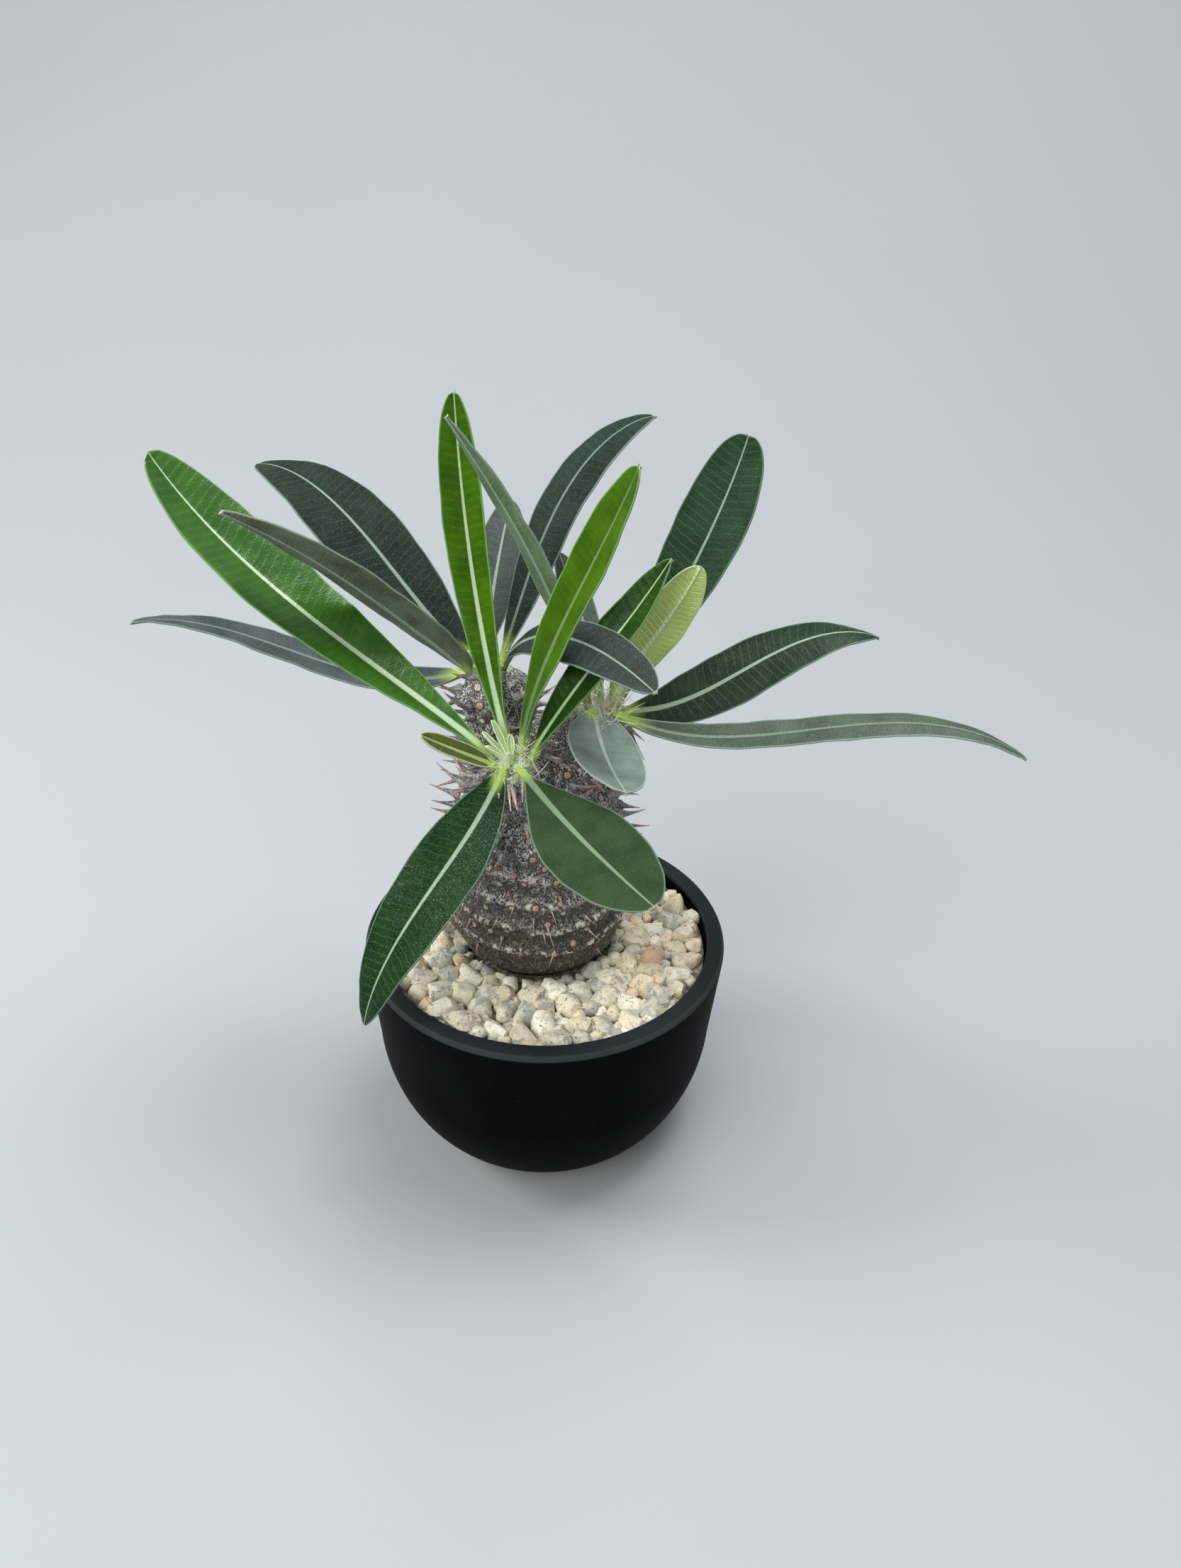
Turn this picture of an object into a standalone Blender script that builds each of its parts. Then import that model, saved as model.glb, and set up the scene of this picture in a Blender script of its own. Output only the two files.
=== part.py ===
"""A young potted pachypodium: a spiny swollen stem with three crowns of leaves, in a round black pot under gravel.

Sizes are in millimetres and angles in degrees until an object is made, where MM turns them into Blender's metres.
The origin is on the pot's axis, on the face that the pot stands on. The viewer is on the minus Y side.
"""

import math
import random

import bmesh
import bpy
from mathutils import Matrix, Vector
from mathutils.bvhtree import BVHTree

MM = 0.001
GAP = 0.3

POT_HEIGHT = 57
POT_RIM_RADIUS = 45
POT_BELLY_RADIUS = 42.8
POT_BELLY_HEIGHT = 32
POT_BASE_RADIUS = 23
POT_WALL = 4.3
POT_FLOOR = 4
POT_ROUNDNESS = 1.8
# How far the rim's outer chamfer goes in and down, and the size of its inner one.
POT_RIM_CHAMFER = (0.8, 1.3)
POT_INNER_CHAMFER = 0.3
POT_SEGMENTS = 36
POT_OUTER_HEIGHTS = (0, 1, 3, 7, 13, 20, 28, 38)
POT_INNER_HEIGHTS = (5, 10, 20, 32)
DRAIN_RADIUS = 2.5
DRAIN_RING = 13
DRAIN_COUNT = 4
DRAIN_SIDES = 12

SOIL_TOP = 47
GRAVEL_BED_TOP = 52.6
PEBBLE_RADII = (3.6, 3.1, 2.6, 2.2)
PEBBLE_TRIES = 3000
PEBBLE_TOP = 57
PEBBLE_OVERLAP = 0.76
PEBBLE_SINK = 0.8
PEBBLE_UNEVEN = 1.2
PEBBLE_ROUGH = 0.82
PEBBLE_NARROW = 0.75
PEBBLE_FLAT = (0.7, 0.9)
PEBBLE_TILT = 0.3

# The stem's axis leans off the pot's: this is its x and y.
STEM_AXIS = (-2, 2)
STEM_SEGMENTS = 32
RING_STEP = 3.1
# Height, then the middle's x and y measured from the stem's axis, then the radii across and along the view.
STEM_SECTIONS = (
    (24, 0, 0, 2.0, 2.0),
    (33, 0, 0, 6.0, 6.0),
    (43, 0, 0, 9.5, 9.5),
    (50, 0, 0, 12.5, 12.5),
    (54, 0, 0, 16.0, 16.0),
    (58, 0, 0, 19.6, 19.6),
    (62, 0, 0, 21.1, 21.1),
    (67, 0, 0, 21.5, 21.5),
    (76, 0, 0, 20.8, 20.8),
    (86, 0, -0.5, 19.2, 18.8),
    (95, 0, -0.5, 18.4, 17.2),
    (103, 0.5, 0, 15.5, 14.2),
    (110, 1, 1.5, 10.5, 10.0),
    (114, 1, 3, 4.5, 4.5),
    (115, 1, 3, 1.0, 1.0),
)
RIDGE_HEIGHT = 0.35
RIDGE_SPACING = 6.2
RIDGE_WANDER = 0.4
RIDGED = (59, 92)

BRANCH_RADIUS = 8
BRANCH_DOME = 5.5
BRANCH_SEGMENTS = 18
BRANCH_DEPTHS = (0, 0.4, 1.3, 3, BRANCH_DOME, 9, 13)
BRANCH_TOP_RADIUS = 0.4
# How far the branch's end lies below the middle of its crown, where the leaf stalks start.
CROWN_SINK = 0.9
# Where each branch starts inside the stem, and the middle of the crown on its end.
BRANCHES = {
    "front": ((-4, -3, 92), (-7, -12, 113)),
    "rear": ((-7, 3, 95), (-13.5, 9, 126)),
    "right": ((4, 1, 95), (12.5, 0, 119.5)),
}

# Spines sit in pairs on a spiral of this angle. Each row of them has a count, its lowest place and the step up, or,
# on a branch, the step down from the edge of the dome.
GOLDEN_ANGLE = 137.5
BRANCH_PAIRS, BRANCH_PAIR_STEP = 12, 1.2
SHOULDER_PAIRS, SHOULDER_LOW, SHOULDER_STEP = 11, 86, 1.6
WORN_SPINES, WORN_LOW, WORN_STEP, WORN_TURN = 14, 62, 1.5, 40
BRANCH_SPINE_LENGTHS = (5.5, 7.5)
SHOULDER_SPINE_LENGTHS = (5, 7)
WORN_LENGTH = 3
WORN_FOOT = 0.6
WORN_DROOP = 0.3
SPINE_SIDES = 4
SPINE_FOOT = 0.9
SPINE_POINT = 0.12
SPINE_SINK = 1.2
SPINE_SPREAD = 17
SPINE_RISE = 12
PAIR_GAP = 1.0
LEAF_CLEARANCE = 0.5
CLEARANCE_STEPS = 5

LEAF_STEPS = 14
LEAF_COLUMNS = (-1, 0, 1)
BLADE_THICKNESS = 0.7
STALK_THICKNESS = 1.5
STALK_HALF_WIDTH = 1.0
KEEL = 0.35
TIP_HALF_WIDTH = 0.35
STALK_END = 0.12
STALK_REACH = 0.8
STALK_START = 3.8
CUSHION_DEPTH = 3.5
CUSHION_FOOT = 1.8
CUSHION_TIP = 0.7
CUSHION_SIDES = 6
MOST_TILT = 60

FRONT_GREEN = (0.10, 0.26, 0.03)
YOUNG_GREEN = (0.24, 0.36, 0.10)
DARK_GREEN = (0.035, 0.085, 0.035)
GREY_GREEN = (0.065, 0.10, 0.075)

# Each leaf: its crown, length and width; heading; the slope at its base, middle and tip; the turn of the blade about
# its midrib at base and tip; how far each half is folded up; where its stalk starts round the crown (around, reach,
# level); where it is widest, and how full its tip is.
LEAVES = {
    "leaf_front_long_left": dict(
        crown="front", length=93, width=19, heading=172, rise=(41, 38, 60), roll=(-18, -18), fold=(18, 18),
        widest=0.66, tip=0.5, colour=FRONT_GREEN,
    ),
    "leaf_front_young_left": dict(
        crown="front", length=18, width=5, heading=200, rise=(32, 32, 34), roll=(-30, -30), fold=(10, 10),
        around=207, level=0, reach=4.5, widest=0.5, tip=0.5, colour=YOUNG_GREEN,
    ),
    "leaf_front_upright": dict(
        crown="front", length=77, width=10, heading=116, rise=(48, 69, 85), roll=(-36, -36), fold=(25, 20),
        around=108, reach=2.6, level=0.8, widest=0.66, tip=0.45, colour=FRONT_GREEN,
    ),
    "leaf_front_upright_right": dict(
        crown="front", length=69, width=12, heading=-12, rise=(83, 67, 70), roll=(44, 44), fold=(17, 17),
        around=44, reach=2.4, level=1, widest=0.65, tip=0.5, colour=FRONT_GREEN,
    ),
    "leaf_front_short_right": dict(
        crown="front", length=52, width=12, heading=16, rise=(62, 53, 59), roll=(12, 12), fold=(14, 14),
        around=14, reach=4.2, level=0.5, widest=0.55, tip=0.6, colour=FRONT_GREEN,
    ),
    "leaf_front_hanging_left": dict(
        crown="front", length=64, width=19, heading=225, rise=(-61, -41, -77), roll=(-12, 8), fold=(8, 4),
        around=245, widest=0.46, tip=0.7, colour=DARK_GREEN,
    ),
    "leaf_front_hanging_right": dict(
        crown="front", length=55, width=19, heading=-60, rise=(-8, 1, 6), roll=(16, 16), fold=(3, 3),
        around=-60, widest=0.52, tip=0.6, colour=DARK_GREEN,
    ),
    "leaf_rear_low_left": dict(
        crown="rear", length=78, width=9, heading=178, rise=(-25, 19, -14), roll=(-30, 5), fold=(5, 5),
        level=-2, reach=5.5, widest=0.45, tip=0.6, colour=GREY_GREEN,
    ),
    "leaf_rear_broad_left": dict(
        crown="rear", length=76, width=20, heading=147, rise=(23, 38, -12), roll=(-35, 0), fold=(0, 0),
        level=-1, widest=0.56, tip=0.55, colour=GREY_GREEN,
    ),
    "leaf_rear_narrow_left": dict(
        crown="rear", length=67, width=13, heading=210, rise=(44, 43, 30), roll=(33, 33), fold=(10, 10),
        level=-1, widest=0.45, tip=0.6, colour=GREY_GREEN,
    ),
    "leaf_rear_hidden": dict(
        crown="rear", length=40, width=11, heading=82, rise=(68, 41, 37), roll=(0, 0), fold=(5, 5),
        around=108, widest=0.6, tip=0.5, colour=GREY_GREEN,
    ),
    "leaf_rear_long_right": dict(
        crown="rear", length=69, width=12, heading=38, rise=(65, 57, -1), roll=(9, 9), fold=(-5, -5),
        around=50, widest=0.55, tip=0.6, colour=GREY_GREEN,
    ),
    "leaf_rear_arched": dict(
        crown="rear", length=51, width=12, heading=-43, rise=(63, 9, -22), roll=(50, 10), fold=(-20, 10),
        level=0.6, widest=0.65, tip=0.5, colour=GREY_GREEN,
    ),
    "leaf_right_long": dict(
        crown="right", length=62, width=14, heading=7, rise=(-12, 32, -24), roll=(60, 5), fold=(10, -15),
        around=15, widest=0.5, tip=0.7, colour=DARK_GREEN,
    ),
    "leaf_right_low": dict(
        crown="right", length=90, width=8, heading=-10, rise=(-25, 15, -35), roll=(30, 5), fold=(20, -20),
        around=-25, widest=0.5, tip=0.6, colour=GREY_GREEN,
    ),
    "leaf_right_broad": dict(
        crown="right", length=66, width=18, heading=42, rise=(50, 54, 70), roll=(12, 12), fold=(20, 8),
        around=50, reach=4.6, widest=0.68, tip=0.45, colour=DARK_GREEN,
    ),
    "leaf_right_young": dict(
        crown="right", length=37, width=11, heading=8, rise=(68, 57, 67), roll=(-88, -88), fold=(2, 2),
        around=50, reach=2.4, level=0.7, widest=0.6, tip=0.5, colour=YOUNG_GREEN,
    ),
    "leaf_right_drooping": dict(
        crown="right", length=32, width=16, heading=-77, rise=(-35, 0, 10), roll=(-12, -12), fold=(8, 8),
        around=-130, reach=3.2, level=1, widest=0.36, tip=0.55, colour=GREY_GREEN,
    ),
    "leaf_right_upright": dict(
        crown="right", length=70, width=9, heading=181, rise=(78, 64, 55), roll=(39, 39), fold=(0, 0),
        around=160, reach=3, level=0.5, widest=0.5, tip=0.7, colour=GREY_GREEN,
    ),
    "leaf_right_rear": dict(
        crown="right", length=38, width=8, heading=112, rise=(78, 36, 37), roll=(9, 9), fold=(15, 15),
        around=104, reach=4.2, level=0.5, widest=0.6, tip=0.5, colour=GREY_GREEN,
    ),
}

# The newborn leaves in the middle of each crown: heading, slope and length.
BUDS = {
    "front": ((150, 55, 8), (185, 40, 7), (265, 70, 5)),
    "rear": ((300, 70, 6), (120, 65, 5)),
    "right": ((250, 75, 6), (20, 60, 5)),
}
BUD_RADIUS = 1.1
BUD_WIDTH = 1.7
BUD_TIP_WIDTH = 0.68
BUD_SIDES = 6


def clear_scene():
    for obj in list(bpy.data.objects):
        bpy.data.objects.remove(obj, do_unlink=True)


def make_material(name, colour, roughness):
    """A matt or satin surface of one colour."""
    material = bpy.data.materials.new(name)
    material.use_nodes = True
    shader = material.node_tree.nodes["Principled BSDF"]
    shader.inputs["Base Color"].default_value = (*colour, 1)
    shader.inputs["Roughness"].default_value = roughness
    shader.inputs["Metallic"].default_value = 0
    material.diffuse_color = (*colour, 1)
    return material


def make_object(name, bm, material=None, location=(0, 0, 0), heading=0, parent=None):
    """Turns a bmesh in millimetres into an object in metres, and frees the bmesh."""
    bmesh.ops.recalc_face_normals(bm, faces=bm.faces)
    bmesh.ops.scale(bm, vec=(MM, MM, MM), verts=bm.verts)
    mesh = bpy.data.meshes.new(name)
    bm.to_mesh(mesh)
    bm.free()
    if material:
        mesh.materials.append(material)
    obj = bpy.data.objects.new(name, mesh)
    bpy.context.scene.collection.objects.link(obj)
    obj.location = Vector(location) * MM
    obj.rotation_euler.z = math.radians(heading)
    obj.parent = parent
    return obj


def make_empty(name, location, parent=None):
    empty = bpy.data.objects.new(name, None)
    bpy.context.scene.collection.objects.link(empty)
    empty.location = Vector(location) * MM
    empty.empty_display_size = BRANCH_RADIUS * MM
    empty.parent = parent
    return empty


def apply_modifiers(obj):
    """Keeps the mesh that the modifiers give and removes them."""
    bpy.context.view_layer.update()
    graph = bpy.context.evaluated_depsgraph_get()
    mesh = bpy.data.meshes.new_from_object(obj.evaluated_get(graph))
    obj.modifiers.clear()
    obj.data = mesh


def smooth(obj, angle):
    obj.data.shade_smooth()
    obj.data.set_sharp_from_angle(angle=math.radians(angle))


def fuse(base, pieces):
    """Joins the pieces to the base in one Boolean union on a collection, then removes them."""
    collection = bpy.data.collections.new(base.name + "_repeats")
    bpy.context.scene.collection.children.link(collection)
    for piece in pieces:
        bpy.context.scene.collection.objects.unlink(piece)
        collection.objects.link(piece)
    union = base.modifiers.new("repeats", "BOOLEAN")
    union.operation = "UNION"
    union.solver = "EXACT"
    union.operand_type = "COLLECTION"
    union.collection = collection
    apply_modifiers(base)
    for piece in pieces:
        bpy.data.objects.remove(piece, do_unlink=True)
    bpy.data.collections.remove(collection)


def cut(base, cutter):
    """Takes the cutter's shape out of the base and removes the cutter."""
    difference = base.modifiers.new("hole", "BOOLEAN")
    difference.operation = "DIFFERENCE"
    difference.solver = "EXACT"
    difference.object = cutter
    apply_modifiers(base)
    bpy.data.objects.remove(cutter, do_unlink=True)


def turned(profile, segments, middle=(0, 0)):
    """A bmesh turned about the upright axis from (radius, height) points whose two ends lie on the axis."""
    bm = bmesh.new()
    points = [bm.verts.new((radius, 0, height)) for radius, height in profile]
    edges = [bm.edges.new(pair) for pair in zip(points, points[1:])]
    bmesh.ops.spin(
        bm, geom=points + edges, cent=(0, 0, 0), axis=(0, 0, 1), angle=math.tau, steps=segments, use_merge=True
    )
    bmesh.ops.remove_doubles(bm, verts=bm.verts, dist=0.001)
    bmesh.ops.translate(bm, vec=(*middle, 0), verts=bm.verts)
    return bm


def lofted(rings):
    """A bmesh through rings of equal count, closed by a flat face at each end."""
    bm = bmesh.new()
    loops = [[bm.verts.new(point) for point in ring] for ring in rings]
    for lower, upper in zip(loops, loops[1:]):
        for k in range(len(lower)):
            n = (k + 1) % len(lower)
            bm.faces.new((lower[k], lower[n], upper[n], upper[k]))
    bm.faces.new(loops[0])
    bm.faces.new(loops[-1])
    return bm


def along(rows, x):
    """The row at x on smooth curves through rows of (x, values...)."""
    k = max(i for i in range(len(rows) - 1) if rows[i][0] <= x or i == 0)
    before, left, right, after = rows[max(k - 1, 0)], rows[k], rows[k + 1], rows[min(k + 2, len(rows) - 1)]
    span = right[0] - left[0]
    t = min(max((x - left[0]) / span, 0), 1)
    values = []
    for b, p, q, a in zip(before[1:], left[1:], right[1:], after[1:]):
        leave = (q - b) / (right[0] - before[0]) * span
        arrive = (a - p) / (after[0] - left[0]) * span
        values.append(
            (2 * t**3 - 3 * t**2 + 1) * p
            + (t**3 - 2 * t**2 + t) * leave
            + (3 * t**2 - 2 * t**3) * q
            + (t**3 - t**2) * arrive
        )
    return values


def pot_outer_radius(height):
    """A straight tapered wall above a rounded belly."""
    if height >= POT_BELLY_HEIGHT:
        share = (height - POT_BELLY_HEIGHT) / (POT_HEIGHT - POT_BELLY_HEIGHT)
        return POT_BELLY_RADIUS + share * (POT_RIM_RADIUS - POT_BELLY_RADIUS)
    depth = (POT_BELLY_HEIGHT - height) / POT_BELLY_HEIGHT
    round_part = (1 - depth**POT_ROUNDNESS) ** (1 / POT_ROUNDNESS)
    return POT_BASE_RADIUS + (POT_BELLY_RADIUS - POT_BASE_RADIUS) * round_part


def pot_inner_radius(height):
    return pot_outer_radius(height) - POT_WALL


def make_pot():
    """The round black pot, with four drain holes clear of the middle of its base."""
    chamfer_in, chamfer_down = POT_RIM_CHAMFER
    outer = [(pot_outer_radius(h), h) for h in (*POT_OUTER_HEIGHTS, POT_HEIGHT - chamfer_down)]
    rim = [
        (POT_RIM_RADIUS - chamfer_in, POT_HEIGHT),
        (POT_RIM_RADIUS - POT_WALL + POT_INNER_CHAMFER, POT_HEIGHT),
        (POT_RIM_RADIUS - POT_WALL, POT_HEIGHT - POT_INNER_CHAMFER),
    ]
    inner = [(pot_inner_radius(h), h) for h in reversed(POT_INNER_HEIGHTS)]
    profile = [(0, 0), *outer, *rim, *inner, (pot_inner_radius(POT_FLOOR), POT_FLOOR), (0, POT_FLOOR)]
    black = make_material("matt_black_pot", (0.012, 0.012, 0.014), 0.5)
    pot = make_object("pot", turned(profile, POT_SEGMENTS), black)
    for k in range(DRAIN_COUNT):
        angle = math.tau * (k + 0.5) / DRAIN_COUNT
        bm = bmesh.new()
        bmesh.ops.create_cone(
            bm, cap_ends=True, segments=DRAIN_SIDES, radius1=DRAIN_RADIUS, radius2=DRAIN_RADIUS, depth=4 * POT_FLOOR
        )
        place = (DRAIN_RING * math.cos(angle), DRAIN_RING * math.sin(angle), POT_FLOOR / 2)
        cut(pot, make_object("drain_cutter", bm, location=place))
    smooth(pot, 30)


def stem_point(height, angle, proud=0.0):
    """A point on the stem's side, with the growth ridges of its lower part."""
    x, y, across, deep = along(STEM_SECTIONS, height)
    low, high = RIDGED
    fade = min(1, max(0, min(height - low, high - height) / RIDGE_SPACING))
    wander = RIDGE_WANDER * (math.sin(3 * angle) + math.sin(5 * angle + 1))
    ridge = RIDGE_HEIGHT * fade * math.sin(math.tau * height / RIDGE_SPACING + wander)
    return Vector(
        (
            STEM_AXIS[0] + x + (across + ridge + proud) * math.cos(angle),
            STEM_AXIS[1] + y + (deep + ridge + proud) * math.sin(angle),
            height,
        )
    )


def stem_bmesh(proud=0.0, top=None):
    """The stem as a loft, or its space with room all round, up to a height."""
    first, last = STEM_SECTIONS[0][0], top or STEM_SECTIONS[-1][0]
    count = math.ceil((last - first) / RING_STEP)
    rings = []
    for k in range(count + 1):
        height = first + (last - first) * k / count
        angles = [math.tau * n / STEM_SEGMENTS for n in range(STEM_SEGMENTS)]
        rings.append([stem_point(height, angle, proud) for angle in angles])
    if proud:
        rings[0] = [point - Vector((0, 0, proud)) for point in rings[0]]
    return lofted(rings)


def filling(name, low, high, material):
    """A disc that fills the pot between two heights, round the stem."""
    heights = [low, *(h for h in POT_INNER_HEIGHTS if low < h < high), high]
    side = [(pot_inner_radius(h) - GAP, h) for h in heights]
    piece = make_object(name, turned([(0, low), *side, (0, high)], POT_SEGMENTS), material)
    cut(piece, make_object("root_cutter", stem_bmesh(proud=GAP, top=high + RING_STEP)))
    return piece


def make_substrate():
    soil = make_material("potting_mix", (0.045, 0.030, 0.020), 0.95)
    filling("substrate", POT_FLOOR + GAP, SOIL_TOP, soil)


def pebble(radius, place, chance):
    """One angular stone: a rough ball with few faces, flattened and turned at random."""
    bm = bmesh.new()
    bmesh.ops.create_icosphere(bm, subdivisions=1, radius=1)
    for vert in bm.verts:
        vert.co *= chance.uniform(PEBBLE_ROUGH, 1)
    size = Vector((1, chance.uniform(PEBBLE_NARROW, 1), chance.uniform(*PEBBLE_FLAT))) * radius
    bmesh.ops.scale(bm, vec=size, verts=bm.verts)
    heading = Matrix.Rotation(chance.uniform(0, math.tau), 3, "Z")
    tilt = Matrix.Rotation(chance.uniform(-PEBBLE_TILT, PEBBLE_TILT), 3, "X")
    bmesh.ops.rotate(bm, matrix=heading @ tilt, verts=bm.verts)
    heights = [vert.co.z for vert in bm.verts]
    level_top = PEBBLE_TOP - chance.uniform(0, PEBBLE_UNEVEN) - max(heights)
    height = min(level_top, GRAVEL_BED_TOP - PEBBLE_SINK - min(heights))
    return make_object("pebble", bm, location=(*place, height))


def make_gravel():
    """The gravel on top: stones of four sizes, the largest laid first, that sink into one bed and cover it."""
    cream = make_material("cream_gravel", (0.52, 0.44, 0.32), 0.85)
    bed = filling("gravel_top", SOIL_TOP + GAP, GRAVEL_BED_TOP, cream)
    chance = random.Random(11)
    inside = stem_point(PEBBLE_TOP, 0).x - STEM_AXIS[0] + GAP
    outside = pot_inner_radius(GRAVEL_BED_TOP) - GAP
    laid = []
    for radius in PEBBLE_RADII:
        for _ in range(PEBBLE_TRIES):
            reach = outside * math.sqrt(chance.random())
            angle = chance.uniform(0, math.tau)
            place = Vector((reach * math.cos(angle), reach * math.sin(angle)))
            if reach > outside - radius or (place - Vector(STEM_AXIS)).length < inside + radius:
                continue
            if all((place - other).length > PEBBLE_OVERLAP * (radius + r) for other, r in laid):
                laid.append((place, radius))
    fuse(bed, [pebble(radius, place, chance) for place, radius in laid])


def leaf_widths(values):
    """The half widths of a leaf from stalk to tip."""
    widest, tip = values["widest"], values["tip"]
    rise = tip * widest / (1 - widest)
    most = widest**rise * (1 - widest) ** tip
    widths = []
    for k in range(LEAF_STEPS + 1):
        s = max(0, (k / LEAF_STEPS - STALK_END) / (1 - STALK_END))
        blade = values["width"] / 2 * s**rise * (1 - s) ** tip / most
        least = STALK_HALF_WIDTH if k < STALK_REACH * LEAF_STEPS else TIP_HALF_WIDTH
        widths.append(max(blade, min(least, values["width"] / 2)))
    return widths


def parabola(values, t):
    """The value at t on the parabola through values at 0, a half and 1."""
    base, middle, tip = values
    return base + (4 * middle - 3 * base - tip) * t + 2 * (base + tip - 2 * middle) * t * t


def leaf_frames(values):
    """The midrib's points from the stalk's foot, with the leaf's direction, its left and its up at each."""
    point = Vector((0, 0, 0))
    step = values["length"] / LEAF_STEPS
    frames = []
    before = None
    for k in range(LEAF_STEPS + 1):
        t = k / LEAF_STEPS
        slope = math.radians(parabola(values["rise"], t))
        ahead = Vector((math.cos(slope), 0, math.sin(slope)))
        if before:
            point = point + (before + ahead).normalized() * step
        before = ahead
        turn = math.radians(values["roll"][0] + (values["roll"][1] - values["roll"][0]) * t)
        level, upright = Vector((0, 1, 0)), ahead.cross(Vector((0, 1, 0)))
        left = math.cos(turn) * level + math.sin(turn) * upright
        frames.append((point, ahead, left, math.cos(turn) * upright - math.sin(turn) * level))
    return frames


def leaf_bmesh(values):
    """A leaf as one closed blade with a keel, its two faces split into triangles alike."""
    bm = bmesh.new()
    tops, bottoms = [], []
    for k, ((point, _, left, up), half) in enumerate(zip(leaf_frames(values), leaf_widths(values))):
        t = k / LEAF_STEPS
        fold = math.radians(values["fold"][0] + (values["fold"][1] - values["fold"][0]) * t)
        stalk = max(0, 1 - t / (2 * STALK_END))
        thick = BLADE_THICKNESS + (STALK_THICKNESS - BLADE_THICKNESS) * stalk
        top, bottom = [], []
        for u in LEAF_COLUMNS:
            middle = point + half * (u * math.cos(fold) * left + abs(u) * math.sin(fold) * up)
            keel = KEEL * (1 - t) if u == 0 else 0
            top.append(bm.verts.new(middle + up * thick / 2))
            bottom.append(bm.verts.new(middle - up * (thick / 2 + keel)))
        tops.append(top)
        bottoms.append(bottom)
    last = len(LEAF_COLUMNS) - 1
    for k in range(LEAF_STEPS):
        for n in range(last):
            for face in (tops, bottoms):
                a, b, c, d = face[k][n], face[k][n + 1], face[k + 1][n + 1], face[k + 1][n]
                bm.faces.new((a, b, c))
                bm.faces.new((a, c, d))
        for n in (0, last):
            a, b, c, d = tops[k][n], bottoms[k][n], bottoms[k + 1][n], tops[k + 1][n]
            bm.faces.new((a, b, c))
            bm.faces.new((a, c, d))
    bm.faces.new(tops[0] + bottoms[0][::-1])
    bm.faces.new(tops[-1] + bottoms[-1][::-1])
    return bm


def leaf_foot(values):
    """Where a leaf's stalk starts, measured from the middle of its crown."""
    around = math.radians(values.get("around", values["heading"]))
    reach = values.get("reach", STALK_START)
    return Vector((reach * math.cos(around), reach * math.sin(around), values.get("level", 0)))


def make_leaves(crowns):
    leaves = []
    for name, values in LEAVES.items():
        green = make_material(name + "_green", values["colour"], 0.45)
        leaf = make_object(
            name, leaf_bmesh(values), green, leaf_foot(values), values["heading"], crowns[values["crown"]]
        )
        smooth(leaf, 50)
        leaves.append(leaf)
    return leaves


def make_buds(crowns):
    """The newborn leaves in the middle of each crown, grown from one small woolly knob."""
    pale = make_material("newborn_leaf_green", (0.33, 0.42, 0.20), 0.7)
    buds = []
    for crown, leaflets in BUDS.items():
        bm = bmesh.new()
        bmesh.ops.create_icosphere(bm, subdivisions=1, radius=BUD_RADIUS)
        knob = make_object(crown + "_crown_bud", bm, pale, (0, 0, BUD_RADIUS), 0, crowns[crown])
        grown = []
        for heading, slope, length in leaflets:
            bm = bmesh.new()
            bmesh.ops.create_cone(
                bm,
                cap_ends=True,
                segments=BUD_SIDES,
                radius1=BUD_WIDTH / 2,
                radius2=BUD_TIP_WIDTH / 2,
                depth=length,
            )
            bmesh.ops.translate(bm, vec=(0, 0, length / 2), verts=bm.verts)
            bmesh.ops.rotate(bm, matrix=Matrix.Rotation(math.radians(90 - slope), 3, "Y"), verts=bm.verts)
            grown.append(make_object("leaflet", bm, None, (0, 0, BUD_RADIUS), heading, crowns[crown]))
        fuse(knob, grown)
        buds.append(knob)
    return buds


def branch_radius(depth):
    """A branch's radius at a depth below the middle of its domed end."""
    if depth >= BRANCH_DOME:
        return BRANCH_RADIUS
    return max(BRANCH_TOP_RADIUS, BRANCH_RADIUS * math.sqrt(1 - (1 - depth / BRANCH_DOME) ** 2))


def branch_frame(crown):
    """A branch's end below its crown, its length, its direction and two directions across it."""
    start, middle = (Vector(point) for point in BRANCHES[crown])
    ahead = (middle - start).normalized()
    end = middle - ahead * CROWN_SINK
    across = ahead.cross(Vector((0, 1, 0))).normalized()
    return end, (end - start).length, ahead, across, ahead.cross(across)


def branch_point(crown, depth, angle):
    end, _, ahead, across, other = branch_frame(crown)
    out = math.cos(angle) * across + math.sin(angle) * other
    return end - ahead * depth + branch_radius(depth) * out, out


def make_branch(crown):
    length = branch_frame(crown)[1]
    rings = []
    for depth in (length, *reversed(BRANCH_DEPTHS)):
        angles = [math.tau * n / BRANCH_SEGMENTS for n in range(BRANCH_SEGMENTS)]
        rings.append([branch_point(crown, depth, angle)[0] for angle in angles])
    return make_object(crown + "_branch", lofted(rings))


def thorn(foot, direction, length, wide, sharp, sides):
    """A tapered point from a foot, its root sunk along its own direction."""
    bm = bmesh.new()
    bmesh.ops.create_cone(bm, cap_ends=True, segments=sides, radius1=wide, radius2=sharp, depth=length + SPINE_SINK)
    bmesh.ops.translate(bm, vec=(0, 0, (length - SPINE_SINK) / 2), verts=bm.verts)
    turn = Vector((0, 0, 1)).rotation_difference(direction).to_matrix()
    bmesh.ops.rotate(bm, matrix=turn, verts=bm.verts)
    return make_object("thorn", bm, location=foot)


def clear_of(trees, foot, direction, length):
    """Whether a spine keeps clear of every leaf."""
    for k in range(1, CLEARANCE_STEPS + 1):
        point = (foot + direction * length * k / CLEARANCE_STEPS) * MM
        for tree in trees:
            if tree.find_nearest(point)[3] < (LEAF_CLEARANCE + SPINE_FOOT) * MM:
                return False
    return True


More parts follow.
